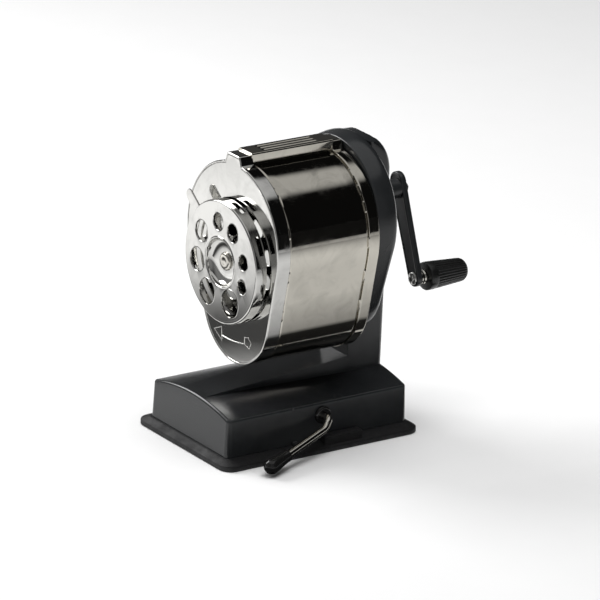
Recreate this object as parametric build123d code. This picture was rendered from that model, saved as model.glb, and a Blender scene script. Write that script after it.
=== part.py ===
from build123d import *
import os
from math import asin, atan2, cos, degrees, pi, radians, sin

# Desk pencil sharpener with a vacuum base. Millimetres.
# Origin: middle of the suction pad's underside. +Z up, -Y towards the pencil, +Y towards the
# crank, +X the side with the vacuum lever.

# ---------------------------------------------------------------- driving dimensions

# Rubber pad and moulded base
PAD_LENGTH = 114.0
PAD_WIDTH = 78.8
PAD_CORNER_R = 6.5
PAD_EDGE_T = 2.8
PAD_SLOPE_TOP = 4.7
PULL_BLOCK_X = 38.2
PULL_BLOCK_START_Y = 1.0
PULL_BLOCK_END_Y = 23.0
PULL_BLOCK_TOP_Z = 7.6
PAD_SHEET_T = 2.0
BODY_HALF_L = 52.8
BODY_HALF_W = 33.4
BODY_CORNER_R = 3.0
BODY_DRAFT = 2.0
BODY_SIDE_Z = 23.0
BODY_CROWN_Z = 28.0
BODY_EDGE_R = 1.4
WALL = 2.4
GUSSET_TIP_Y = -49.0
GUSSET_TIP_HALF_W = 8.8
GUSSET_RISE = 7.3

# Post that carries the mechanism
POST_HALF_W = 12.2
POST_FRONT_Y = 31.0
POST_REAR_Y = 52.2
POST_TOP_Z = 147.8
POST_TOP_R = 21.5
POST_FOOT_Z = 6.0
CORE_TOP_Z = 80.0
POST_EDGE_R = 3.5
SHOULDER_LENGTH = 12.0
SHOULDER_SWELL = 35.0

# Working axis, shared by pencil, cutter carrier and crank
AXIS_Z = 112.0
RECEPTACLE_TWIST = 8.5

# Egg-shaped receptacle: two circles joined by tangents
EGG_TOP_Z = 101.9
EGG_LOW_Z = 68.5
EGG_TOP_R = 38.1
EGG_LOW_R = 27.1
PLATE_Y = -32.8
RECEPTACLE_REAR_Y = 26.4
SHEET_T = 0.8
FRONT_BAND_DEPTH = 7.5
REAR_BAND_DEPTH = 6.1
BAND_RAISE = 0.45
PLATE_EDGE_R = 2.2

# Upright seam channel along the top of the receptacle
CHANNEL_X = 0.0
CHANNEL_HALF_W = 5.7
CHANNEL_TOP_Z = 145.4
STRAP_DROP = 1.0
STRAP_EXTRA_W = 0.8

# Black gear housing behind the receptacle
HOUSING_TOP_Z = 107.0
HOUSING_LOW_Z = 75.8
HOUSING_TOP_R = 37.4
HOUSING_LOW_R = 28.4
HOUSING_FRONT_Y = 26.9
HOUSING_RIM_Y = 37.4
HOUSING_REAR_Y = 41.0
HOUSING_FLARE = 1.2
HOUSING_REAR_SLOPE = 62.0
POCKET_DEPTH = 8.6
POCKET_INSET = 4.5
COLLAR_R = 19.0
COLLAR_BORE_R = 16.2
SCREW_Z = (88.0, 134.5)

# Selector dial and its holes: angle from +X as seen from the front, hole diameter
DIAL_R = 30.2
DIAL_DROP = 19.8
DIAL_FACE_Y = -40.0
DIAL_SKIRT_REAR_Y = -33.8
DIAL_T = 1.0
DIAL_EDGE_R = 1.8
CUP_R = 11.8
CUP_DEPTH = 3.6
DIAL_HOLES = (
    (90, 8.4), (53, 9.0), (8, 7.6), (-28, 7.2), (-71, 14.0), (-128, 12.8), (-176, 11.6), (138, 10.4))
SKIRT_WINDOW_COUNT = 8

# Finger tab on the dial's rim, and the flat detent spring between dial and plate
TAB_ANGLE = 130.0
TAB_TIP_R = 41.0
TAB_HALF_W = 2.7
TAB_T = 1.0
DETENT_ANGLE = 149.0
DETENT_INNER_R = 7.0
DETENT_OUTER_R = 24.0
DETENT_HALF_W = 2.5
DETENT_T = 0.7

# Gears and cutters
MODULE = 0.75
RING_TEETH = 32
PINION_TEETH = 14
GEAR_WIDTH = 4.4
GEAR_MID_Y = 26.5
CUTTER_TILT = 9.0
CUTTER_R = 7.1
CUTTER_TEETH = 18
CUTTER_START = 4.4
CUTTER_LENGTH = 28.0
CUTTER_TWIST = 70.0
CUTTER_TOOTH_DEPTH = 0.9
NECK_R = 3.8
AXLE_R = 1.5
RUNNING = 0.05

# Shaft and crank
SHAFT_R = 3.0
SHAFT_FRONT_Y = 31.2
SHAFT_REAR_Y = 69.1
BUSH_R = 5.0
BUSH_FLANGE_R = 7.5
BUSH_FLANGE_T = 1.4
CRANK_ANGLE = 22.2
CRANK_LENGTH = 44.4
ARM_FRONT_Y = 64.3
ARM_T = 3.2
ARM_BEYOND_AXIS = 3.3
ARM_TOP_R = 5.0
ARM_LOW_R = 4.2
ARM_EDGE_R = 0.7
KNOB_START_Y = 71.1
KNOB_END_Y = 95.1
KNOB_BIG_R = 7.0
KNOB_SMALL_R = 5.8
KNOB_RIBS = 28
HANDLE_PIN_R = 2.2

# Vacuum lever and lift
LEVER_Y = 2.2
LEVER_Z = 17.3
LEVER_ROD_R = 2.0
LEVER_INNER_X = -28.5
LEVER_BEND_X = 38.6
LEVER_ELBOW = (40.4, -0.8, 13.2)
LEVER_TIP = (52.4, -42.9, 4.15)
GRIP_LENGTH = 16.0
GRIP_R = 3.8
CAM_R = 4.2
CAM_THROW = 1.25
YOKE_GAP = 0.45
YOKE_T = 1.4
PLATE_R = 22.0

NODES = {}


# ---------------------------------------------------------------- helpers

def across(y):
    """Plane square to the working axis at this y: local x is +X, local y is +Z, normal -Y."""
    return Plane(origin=(0, y, 0), x_dir=(1, 0, 0), z_dir=(0, -1, 0))


def slab(sketch, y0, y1, taper=0):
    """Solid between y0 and y1 from a sketch drawn in (X, Z)."""
    return extrude(across(y1) * sketch, amount=y1 - y0, taper=taper)


def rod(x, z, radius, y0, y1):
    """Round bar along Y."""
    return slab(Pos(x, z) * Circle(radius), y0, y1)


def egg(top_z, low_z, top_r, low_r):
    """Outline of two stacked circles joined by their outer tangents, in (X, Z)."""
    slope = asin((top_r - low_r) / (top_z - low_z))
    side = (cos(slope), -sin(slope))
    top_right = (top_r * side[0], top_z + top_r * side[1])
    low_right = (low_r * side[0], low_z + low_r * side[1])
    top_left = (-top_right[0], top_right[1])
    low_left = (-low_right[0], low_right[1])
    outline = ThreePointArc(top_right, (0, top_z + top_r), top_left)
    outline += Line(top_left, low_left)
    outline += ThreePointArc(low_left, (0, low_z - low_r), low_right)
    outline += Line(low_right, top_right)
    return make_face(outline)


def receptacle_egg(inset=0.0):
    return egg(EGG_TOP_Z, EGG_LOW_Z, EGG_TOP_R - inset, EGG_LOW_R - inset)


def housing_egg(inset=0.0):
    return egg(HOUSING_TOP_Z, HOUSING_LOW_Z, HOUSING_TOP_R - inset, HOUSING_LOW_R - inset)


def turned_with_receptacle(shape):
    """The receptacle sits a few degrees round the working axis from upright."""
    axis = Axis((0, 0, AXIS_Z), (0, -1, 0))
    return shape.rotate(axis, RECEPTACLE_TWIST)


def dial_centre():
    turn = radians(RECEPTACLE_TWIST)
    return (DIAL_DROP * sin(turn), AXIS_Z - DIAL_DROP * cos(turn))


def gear_outline(teeth, root_r, tip_r, root_share, tip_share, phase=0.0):
    """Straight-flanked teeth. The shares are the fractions of a pitch taken by a tooth."""
    points = []
    pitch = 2 * pi / teeth
    for tooth in range(teeth):
        middle = radians(phase) + tooth * pitch
        for radius, share in ((root_r, -root_share), (tip_r, -tip_share), (tip_r, tip_share), (root_r, root_share)):
            angle = middle + share * pitch / 2
            points.append((radius * cos(angle), radius * sin(angle)))
    return make_face(Polyline(points, close=True))


def add(name, shape):
    NODES[name] = shape


# ---------------------------------------------------------------- stand

def crowned_block(inset, base_z):
    """Drafted rectangular block with a top arched across its width."""
    outline = RectangleRounded(2 * (BODY_HALF_W - inset), 2 * (BODY_HALF_L - inset), BODY_CORNER_R)
    block = extrude(Pos(0, 0, base_z) * outline, amount=BODY_CROWN_Z + 5, taper=BODY_DRAFT)
    rise = BODY_CROWN_Z - BODY_SIDE_Z
    arch_r = (BODY_HALF_W ** 2 + rise ** 2) / (2 * rise)
    arch = Pos(0, 0, BODY_CROWN_Z - arch_r) * Rot(90, 0, 0) * Cylinder(arch_r - inset, 4 * BODY_HALF_L)
    return block & arch


def gusset():
    """Low wedge that runs back along the base and widens into the post."""
    plan = make_face(Polyline([
        (-GUSSET_TIP_HALF_W, GUSSET_TIP_Y), (GUSSET_TIP_HALF_W, GUSSET_TIP_Y),
        (POST_HALF_W, POST_FRONT_Y + 1), (-POST_HALF_W, POST_FRONT_Y + 1)], close=True))
    upright = extrude(Pos(0, 0, BODY_SIDE_Z) * plan, amount=20)
    side = make_face(Plane.YZ * Polyline([
        (GUSSET_TIP_Y - 1, BODY_SIDE_Z - 1), (GUSSET_TIP_Y - 1, BODY_CROWN_Z - 0.4),
        (POST_FRONT_Y + 2, BODY_CROWN_Z + GUSSET_RISE), (POST_FRONT_Y + 2, BODY_SIDE_Z - 1)], close=True))
    return upright & extrude(side, amount=POST_HALF_W + 1, both=True)


def post_block():
    """Upright that steps back behind the housing's rim; its rear top corner is round in side view."""
    centre_y = POST_REAR_Y - POST_TOP_R
    centre_z = POST_TOP_Z - POST_TOP_R
    rim_lead = HOUSING_RIM_Y - centre_y
    arc_start = (HOUSING_RIM_Y, centre_z + (POST_TOP_R ** 2 - rim_lead ** 2) ** 0.5)
    arc_middle = (centre_y + POST_TOP_R * cos(pi / 4), centre_z + POST_TOP_R * sin(pi / 4))
    outline = Polyline([
        (POST_FRONT_Y, POST_FOOT_Z), (POST_FRONT_Y, HOUSING_LOW_Z), (HOUSING_RIM_Y, HOUSING_LOW_Z), arc_start])
    outline += ThreePointArc(arc_start, arc_middle, (POST_REAR_Y, centre_z))
    outline += Polyline([(POST_REAR_Y, centre_z), (POST_REAR_Y, POST_FOOT_Z), (POST_FRONT_Y, POST_FOOT_Z)])
    return extrude(Plane.YZ * make_face(outline), amount=POST_HALF_W, both=True)


def post_shoulder_waste():
    """What is cut off the post's top so that it starts flush with the housing's rim and swells behind it."""
    rim_plane = Plane(origin=(0, HOUSING_RIM_Y, 0), x_dir=(-1, 0, 0), z_dir=(0, 1, 0))
    swelling = extrude(rim_plane * housing_egg(-HOUSING_FLARE), amount=SHOULDER_LENGTH, taper=-SHOULDER_SWELL)
    top_z = AXIS_Z + 20
    block = Pos(0, HOUSING_RIM_Y + SHOULDER_LENGTH / 2, top_z) * Box(40, SHOULDER_LENGTH, 60)
    return block - swelling


def make_stand():
    body = crowned_block(0.0, PAD_SHEET_T)
    top_edges = body.edges().filter_by_position(Axis.Z, BODY_SIDE_Z - 1.5, BODY_CROWN_Z + 1)
    body = fillet(top_edges, BODY_EDGE_R)
    post = post_block()
    upright_edges = [e for e in post.edges() if abs(e.center().X) > POST_HALF_W - 0.1 and e.center().Y > POST_FRONT_Y + 1]
    post = fillet([e for e in upright_edges if e.center().Z > 8], POST_EDGE_R)
    post = post - post_shoulder_waste()
    body = body + gusset() + post

    hollow = crowned_block(WALL, 0.0) & Box(2 * PAD_WIDTH, 2 * PAD_LENGTH, 2 * (BODY_CROWN_Z - WALL))
    core_length = POST_REAR_Y - POST_FRONT_Y - 2 * WALL - 1
    core = Pos(0, (POST_FRONT_Y + POST_REAR_Y) / 2, CORE_TOP_Z / 2) * Box(2 * (POST_HALF_W - WALL), core_length, CORE_TOP_Z)
    body = body - hollow - core

    # bosses for the lever: one through the side wall, one blind inside the far wall
    blind = Pos(-(BODY_HALF_W + 25.0) / 2, LEVER_Y, LEVER_Z) * Rot(0, 90, 0) * Cylinder(4.6, BODY_HALF_W - 25.0 - 1.0)
    body = body + blind
    body = body - Pos((LEVER_INNER_X + 10) / 2 - 0.3, LEVER_Y, LEVER_Z) * Rot(0, 90, 0) * Cylinder(
        LEVER_ROD_R + RUNNING, abs(LEVER_INNER_X - 10) + 0.2)
    body = body - Pos(BODY_HALF_W, LEVER_Y, LEVER_Z) * Rot(0, 90, 0) * Cylinder(3.6, 12)
    # two stiffening ribs across the hollow and the screw bosses of the pad clamp
    for y in (-30, 22):
        rib = Pos(0, y, 14.8) * Box(2 * BODY_HALF_W - 3, 1.8, 17.6) & crowned_block(WALL / 2, 0.0)
        body = body + rib
    body = body - rod(0, AXIS_Z, BUSH_R, POST_FRONT_Y - 1, POST_REAR_Y + 1)
    body = body - housing_envelope()
    for z in SCREW_Z:
        body = body - rod(0, z, 1.5, POST_FRONT_Y, POST_REAR_Y - 3)
    return body


# ---------------------------------------------------------------- gear housing

def housing_envelope():
    """Outside of the housing: flared front, crisp rim, back sloping in steeply behind it."""
    flare = degrees(atan2(HOUSING_FLARE, HOUSING_RIM_Y - HOUSING_FRONT_Y))
    front = slab(housing_egg(), HOUSING_FRONT_Y, HOUSING_RIM_Y, taper=flare)
    rear_plane = Plane(origin=(0, HOUSING_RIM_Y, 0), x_dir=(-1, 0, 0), z_dir=(0, 1, 0))
    rear = extrude(
        rear_plane * housing_egg(-HOUSING_FLARE), amount=HOUSING_REAR_Y - HOUSING_RIM_Y, taper=HOUSING_REAR_SLOPE)
    return front + rear


def make_gear_housing():
    shell = housing_envelope()
    pocket = slab(housing_egg(POCKET_INSET), HOUSING_FRONT_Y - 1, HOUSING_FRONT_Y + POCKET_DEPTH)
    shell = shell - pocket
    floor_y = HOUSING_FRONT_Y + POCKET_DEPTH
    collar = rod(0, AXIS_Z, COLLAR_R, GEAR_MID_Y - GEAR_WIDTH / 2, floor_y + 1)
    shell = shell + collar - rod(0, AXIS_Z, COLLAR_BORE_R, 0, floor_y)
    shell = shell - rod(0, AXIS_Z, BUSH_R, HOUSING_FRONT_Y, HOUSING_REAR_Y + 1)
    for z in SCREW_Z:
        shell = shell - rod(0, z, 1.8, floor_y - 1, HOUSING_REAR_Y + 1)
    return shell


def make_housing_screws():
    floor_y = HOUSING_FRONT_Y + POCKET_DEPTH
    screws = []
    for z in SCREW_Z:
        head = fillet(rod(0, z, 3.2, floor_y - 2.0, floor_y).edges().sort_by(Axis.Y)[0], 0.8)
        slot = Pos(0, floor_y - 2.0, z) * Box(5.0, 1.4, 0.9)
        screws.append(head + rod(0, z, 1.5, floor_y, POST_REAR_Y - 4) - slot)
    return Compound(screws)


def make_ring_gear():
    pitch_r = MODULE * RING_TEETH / 2
    spaces = gear_outline(RING_TEETH, pitch_r - 0.75 * MODULE, pitch_r + 1.3 * MODULE, 0.86, 0.56)
    blank = rod(0, AXIS_Z, COLLAR_BORE_R, GEAR_MID_Y - GEAR_WIDTH / 2, GEAR_MID_Y + GEAR_WIDTH / 2)
    return blank - slab(Pos(0, AXIS_Z) * spaces, GEAR_MID_Y - GEAR_WIDTH, GEAR_MID_Y + GEAR_WIDTH)


def make_shaft_bushing():
    floor_y = HOUSING_FRONT_Y + POCKET_DEPTH
    bush = rod(0, AXIS_Z, BUSH_R, floor_y, POST_REAR_Y) + rod(0, AXIS_Z, BUSH_FLANGE_R, floor_y - BUSH_FLANGE_T, floor_y)
    return bush - rod(0, AXIS_Z, SHAFT_R + RUNNING, floor_y - 2, POST_REAR_Y + 1)


# ---------------------------------------------------------------- vacuum base

def make_suction_pad():
    """Flat rubber sheet with a raised lip that shows as a flange round the base."""
    sheet = extrude(RectangleRounded(PAD_WIDTH, PAD_LENGTH, PAD_CORNER_R), amount=PAD_EDGE_T)
    slope_run = PAD_WIDTH / 2 - BODY_HALF_W
    slope = degrees(atan2(slope_run, PAD_SLOPE_TOP - PAD_EDGE_T))
    lip_plan = Pos(0, 0, PAD_EDGE_T) * RectangleRounded(PAD_WIDTH, PAD_LENGTH, PAD_CORNER_R)
    lip = extrude(lip_plan, amount=PAD_SLOPE_TOP - PAD_EDGE_T, taper=slope * 0.93)
    pad = sheet + lip
    block_x = (BODY_HALF_W - 1 + PULL_BLOCK_X) / 2
    block_y = (PULL_BLOCK_START_Y + PULL_BLOCK_END_Y) / 2
    pad = pad + Pos(block_x, block_y, PULL_BLOCK_TOP_Z / 2) * Box(
        PULL_BLOCK_X - BODY_HALF_W + 1, PULL_BLOCK_END_Y - PULL_BLOCK_START_Y, PULL_BLOCK_TOP_Z)
    seat = crowned_block(0.0, PAD_SHEET_T)
    recess_plan = RectangleRounded(2 * (BODY_HALF_W - WALL - 3), 2 * (BODY_HALF_L - WALL - 3), 4)
    recess = extrude(Pos(0, 0, PAD_SHEET_T) * recess_plan, amount=10)
    pad = pad - seat - recess
    outer_ring = extrude(RectangleRounded(PAD_WIDTH - 9, PAD_LENGTH - 9, 4), amount=0.6)
    inner_ring = extrude(RectangleRounded(PAD_WIDTH - 12, PAD_LENGTH - 12, 3), amount=0.6)
    return pad - (outer_ring - inner_ring)


def make_pad_clamp():
    """Steel frame inside the hollow that holds the rubber against the moulding."""
    outer = RectangleRounded(2 * (BODY_HALF_W - WALL - 1.2), 2 * (BODY_HALF_L - WALL - 1.2), 3)
    inner = RectangleRounded(2 * (BODY_HALF_W - WALL - 8), 2 * (BODY_HALF_L - WALL - 8), 4)
    return extrude(Pos(0, 0, PAD_SLOPE_TOP) * (outer - inner), amount=1.2)


def make_lift_plate():
    disc = Pos(0, LEVER_Y, PAD_SHEET_T + 0.7) * Cylinder(PLATE_R, 1.4)
    return fillet(disc.edges().sort_by(Axis.Z)[-1], 0.5)


def make_lift_yoke():
    """Stem with a square window; the cam turns inside the window and raises the plate."""
    middle_z = LEVER_Z - CAM_THROW
    half_h = CAM_R + YOKE_GAP
    half_w = CAM_R + CAM_THROW + YOKE_GAP
    frame_h = 2 * (half_h + YOKE_T)
    frame_w = 2 * (half_w + YOKE_T)
    yoke = Pos(0, LEVER_Y, middle_z) * Box(6, frame_w, frame_h)
    yoke = fillet(yoke.edges().filter_by(Axis.X), 1.2)
    yoke = yoke - Pos(0, LEVER_Y, middle_z) * Box(8, 2 * half_w, 2 * half_h)
    foot_z = PAD_SHEET_T + 1.4
    stem_top = middle_z - half_h - YOKE_T / 2
    stem = Pos(0, LEVER_Y, (foot_z + stem_top) / 2) * Cylinder(2.6, stem_top - foot_z)
    return yoke + stem


def make_lever_cam():
    cam = Pos(0, LEVER_Y, LEVER_Z - CAM_THROW) * Rot(0, 90, 0) * Cylinder(CAM_R, 5)
    return cam - Pos(0, LEVER_Y, LEVER_Z) * Rot(0, 90, 0) * Cylinder(LEVER_ROD_R, 10)


def make_vacuum_lever():
    """Bent steel rod: journal through the base, then the arm down to the grip."""
    path = FilletPolyline(
        (LEVER_INNER_X, LEVER_Y, LEVER_Z), (LEVER_BEND_X, LEVER_Y, LEVER_Z), LEVER_ELBOW, lever_point(1.5), radius=2.2)
    section = Plane(origin=path @ 0, z_dir=path % 0) * Circle(LEVER_ROD_R)
    return sweep(section, path=path)


def lever_point(from_tip):
    """Point on the straight part of the lever at this distance from its tip."""
    start = Vector(*LEVER_ELBOW)
    tip = Vector(*LEVER_TIP)
    return tip + (start - tip).normalized() * from_tip


def make_lever_grip():
    start = lever_point(GRIP_LENGTH)
    toward_tip = Vector(*LEVER_TIP) - start
    sleeve = Plane(origin=start, z_dir=toward_tip) * Pos(0, 0, GRIP_LENGTH / 2) * Cylinder(GRIP_R, GRIP_LENGTH)
    ends = sleeve.edges().filter_by(GeomType.CIRCLE).sort_by(Axis.Y)
    sleeve = fillet(ends[0], GRIP_R - 0.5)
    sleeve = fillet(sleeve.edges().filter_by(GeomType.CIRCLE).sort_by(Axis.Y)[-1], 0.6)
    bore = Plane(origin=start, z_dir=toward_tip) * Pos(0, 0, (GRIP_LENGTH - 1.5) / 2 - 1) * Cylinder(
        LEVER_ROD_R, GRIP_LENGTH + 0.5)
    return sleeve - bore


def make_lever_bush():
    wall_x = BODY_HALF_W - 0.6
    body = Pos(wall_x - 1.0, LEVER_Y, LEVER_Z) * Rot(0, 90, 0) * Cylinder(3.6, 5.0)
    flange = Pos(wall_x + 0.9, LEVER_Y, LEVER_Z) * Rot(0, 90, 0) * Cylinder(4.4, 1.8)
    flange = fillet(flange.edges().filter_by(GeomType.CIRCLE).sort_by(Axis.X)[-1], 1.0)
    bush = flange - crowned_block(0.0, PAD_SHEET_T) + body
    return bush - Pos(wall_x, LEVER_Y, LEVER_Z) * Rot(0, 90, 0) * Cylinder(LEVER_ROD_R + RUNNING, 20)


def make_lever_clip():
    """Spring clip in the journal that stops the lever pulling out."""
    clip = Pos(-22, LEVER_Y, LEVER_Z) * Rot(0, 90, 0) * Cylinder(4.2, 0.8)
    clip = clip - Pos(-22, LEVER_Y, LEVER_Z) * Rot(0, 90, 0) * Cylinder(LEVER_ROD_R, 4)
    return clip - Pos(-22, LEVER_Y, LEVER_Z - 4) * Box(4, 2.4, 8)


# ---------------------------------------------------------------- receptacle

def channel_block(half_w, top_z, y0, y1):
    """Upright strip that straddles the top of the drum."""
    middle = Pos(CHANNEL_X, (top_z + AXIS_Z) / 2)
    return slab(middle * Rectangle(2 * half_w, top_z - AXIS_Z), y0, y1)


def make_receptacle_shell():
    """Rolled drum wall between the two end bands."""
    wall = receptacle_egg() - receptacle_egg(SHEET_T)
    return turned_with_receptacle(slab(wall, PLATE_Y + FRONT_BAND_DEPTH, RECEPTACLE_REAR_Y - REAR_BAND_DEPTH))


def make_front_plate():
    """Pressed end cap: flat face, rounded edge, and a skirt that forms the front band."""
    cap = slab(receptacle_egg(-BAND_RAISE), PLATE_Y, PLATE_Y + FRONT_BAND_DEPTH)
    front_edges = cap.faces().sort_by(Axis.Y)[0].edges()
    cap = fillet(front_edges, PLATE_EDGE_R)
    cap = cap - slab(receptacle_egg(SHEET_T), PLATE_Y + SHEET_T + 0.4, PLATE_Y + FRONT_BAND_DEPTH + 1)
    cap = cap - rod(0, AXIS_Z, 8.0, PLATE_Y - 1, PLATE_Y + 5)
    cap = cap - rod(0, AXIS_Z - DIAL_DROP, 3.0, PLATE_Y - 1, PLATE_Y + 5)
    half_w = CHANNEL_HALF_W - 0.3
    top_z = CHANNEL_TOP_Z - STRAP_DROP
    crest = make_face(Polyline([
        (CHANNEL_X - half_w - 1.5, top_z - 7), (CHANNEL_X - half_w, top_z), (CHANNEL_X + half_w, top_z),
        (CHANNEL_X + half_w + 1.5, top_z - 7)], close=True))
    return turned_with_receptacle(cap) + slab(crest, PLATE_Y, PLATE_Y + 1.0)


def make_rear_band():
    """Rolled rim that seats against the gear housing, with an inward flange."""
    band = receptacle_egg(-BAND_RAISE) - receptacle_egg(SHEET_T)
    ring = slab(band, RECEPTACLE_REAR_Y - REAR_BAND_DEPTH, RECEPTACLE_REAR_Y)
    flange = receptacle_egg(SHEET_T) - receptacle_egg(4.0)
    return turned_with_receptacle(ring + slab(flange, RECEPTACLE_REAR_Y - 1.0, RECEPTACLE_REAR_Y))


def make_seam_channel():
    """Raised box strip over the drum's seam, with a lower, wider strap at each end."""
    front = PLATE_Y + FRONT_BAND_DEPTH + 0.3
    rear = RECEPTACLE_REAR_Y - REAR_BAND_DEPTH - 0.3
    strip = channel_block(CHANNEL_HALF_W, CHANNEL_TOP_Z, front, rear)
    strip = fillet(strip.edges().filter_by(Axis.Y).group_by(Axis.Z)[-1], 0.9)
    for y0, y1 in ((PLATE_Y + 1.0, front), (rear, RECEPTACLE_REAR_Y - 0.3)):
        strap = channel_block(CHANNEL_HALF_W + STRAP_EXTRA_W, CHANNEL_TOP_Z - STRAP_DROP, y0, y1)
        strip = strip + fillet(strap.edges().filter_by(Axis.Y).group_by(Axis.Z)[-1], 1.2)
    drum = slab(receptacle_egg(-BAND_RAISE), PLATE_Y - 1, RECEPTACLE_REAR_Y + 1)
    strip = strip - turned_with_receptacle(drum)
    bead = extrude(Rot(0, 0, 90) * SlotOverall(34, 1.3), amount=0.35)
    for x in (-2.6, 0.0, 2.6):
        strip = strip + Pos(CHANNEL_X + x, (front + rear) / 2, CHANNEL_TOP_Z) * bead
    return strip


def make_dial_rivet():
    """Pivot that ties the dial to the front plate."""
    floor_y = DIAL_FACE_Y + CUP_DEPTH
    head = rod(0, 0, 4.6, floor_y - 1.5, floor_y - 0.05)
    head = fillet(head.edges().sort_by(Axis.Y)[0], 1.2)
    pin = rod(0, 0, 3.0, floor_y - 0.1, PLATE_Y + 3.2)
    tail = rod(0, 0, 5.0, PLATE_Y + SHEET_T + 0.4, PLATE_Y + 3.2)
    return at_dial(head + pin + tail)


def at_dial(shape):
    x, z = dial_centre()
    return Pos(x, 0, z) * shape


def make_detent_spring():
    """Flat spring behind the dial, fixed to the plate, that steadies the dial at each hole."""
    strip = Pos((DETENT_INNER_R + DETENT_OUTER_R) / 2, 0) * Rectangle(DETENT_OUTER_R - DETENT_INNER_R, 2 * DETENT_HALF_W)
    strip = strip + Pos(DETENT_OUTER_R, 0) * Circle(DETENT_HALF_W)
    leaf = slab(strip, PLATE_Y - DETENT_T, PLATE_Y)
    return at_dial(leaf.rotate(Axis((0, 0, 0), (0, -1, 0)), DETENT_ANGLE))


def make_selector_dial():
    """Pressed pan: face with graded holes, rounded edge, skirt with windows, dished centre."""
    pan = rod(0, 0, DIAL_R, DIAL_FACE_Y, DIAL_SKIRT_REAR_Y)
    pan = fillet(pan.edges().sort_by(Axis.Y)[0], DIAL_EDGE_R)
    hollow = rod(0, 0, DIAL_R - DIAL_T, DIAL_FACE_Y + DIAL_T, DIAL_SKIRT_REAR_Y + 1)
    pan = pan - hollow
    floor_y = DIAL_FACE_Y + CUP_DEPTH
    cup = rod(0, 0, CUP_R, DIAL_FACE_Y - 0.5, floor_y)
    cup = fillet(cup.edges().sort_by(Axis.Y)[-1], 2.6)
    cup_shell = rod(0, 0, CUP_R + 0.9, DIAL_FACE_Y, floor_y + DIAL_T)
    cup_shell = fillet(cup_shell.edges().sort_by(Axis.Y)[-1], 3.0)
    lip = rod(0, 0, CUP_R + 0.9, DIAL_FACE_Y - 0.5, DIAL_FACE_Y + 0.2)
    lip = fillet(lip.edges().sort_by(Axis.Y)[0], 0.4)
    pan = pan + cup_shell + lip - cup
    pan = pan - rod(0, 0, 3.05, DIAL_FACE_Y, PLATE_Y)
    for angle, diameter in DIAL_HOLES:
        x = DIAL_DROP * cos(radians(angle))
        z = DIAL_DROP * sin(radians(angle))
        pan = pan - rod(x, z, diameter / 2, DIAL_FACE_Y - 1, DIAL_FACE_Y + 2 * DIAL_T)
    for step in range(SKIRT_WINDOW_COUNT):
        window = Pos(DIAL_R, DIAL_SKIRT_REAR_Y - 1.9, 0) * Box(6, 2.6, 10)
        pan = pan - window.rotate(Axis((0, 0, 0), (0, 1, 0)), 360 / SKIRT_WINDOW_COUNT * (step + 0.5))
    tab_root = DIAL_R - DIAL_T
    tab_length = TAB_TIP_R - TAB_HALF_W - tab_root
    tab = Pos(tab_root + tab_length / 2, 0) * Rectangle(tab_length, 2 * TAB_HALF_W)
    tab = slab(tab + Pos(tab_root + tab_length, 0) * Circle(TAB_HALF_W), DIAL_FACE_Y + 0.4, DIAL_FACE_Y + 0.4 + TAB_T)
    pan = pan + tab.rotate(Axis((0, 0, 0), (0, -1, 0)), TAB_ANGLE)
    return at_dial(pan.rotate(Axis((0, 0, 0), (0, -1, 0)), RECEPTACLE_TWIST))


# ---------------------------------------------------------------- cutter head

def cutter_frame(side):
    """Local frame of a cutter: origin at mid gear, +Z along its axle towards the pencil."""
    tilt = radians(CUTTER_TILT)
    reach = MODULE * (RING_TEETH - PINION_TEETH) / 2
    forward = (side * sin(tilt), -cos(tilt), 0)
    outward = (side * cos(tilt), sin(tilt), 0)
    return Plane(origin=(side * reach, GEAR_MID_Y, AXIS_Z), x_dir=outward, z_dir=forward)


def make_cutter(side):
    """Helical milling cutter with its spur pinion in one piece."""
    tooth = gear_outline(CUTTER_TEETH, CUTTER_R - CUTTER_TOOTH_DEPTH, CUTTER_R, 0.98, 0.12)
    start = Pos(0, 0, CUTTER_START) * tooth
    body = Solid.extrude_linear_with_rotation(
        start.face(), (0, 0, CUTTER_START), (0, 0, CUTTER_LENGTH), side * CUTTER_TWIST)
    pitch_r = MODULE * PINION_TEETH / 2
    pinion = gear_outline(PINION_TEETH, pitch_r - 1.3 * MODULE, pitch_r + 0.8 * MODULE, 0.62, 0.22)
    gear = Pos(0, 0, -GEAR_WIDTH / 2) * extrude(pinion, amount=GEAR_WIDTH)
    neck = Pos(0, 0, (GEAR_WIDTH / 2 + CUTTER_START) / 2) * Cylinder(NECK_R, CUTTER_START - GEAR_WIDTH / 2 + 0.2)
    bore = Cylinder(AXLE_R + RUNNING, 200)
    return cutter_frame(side) * (Part(body.wrapped) + gear + neck - bore)


def axle(side, radius):
    rear = -GEAR_WIDTH / 2 - 4.6
    front = CUTTER_START + CUTTER_LENGTH + 7.0
    return cutter_frame(side) * Pos(0, 0, (rear + front) / 2) * Cylinder(radius, front - rear)


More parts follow.
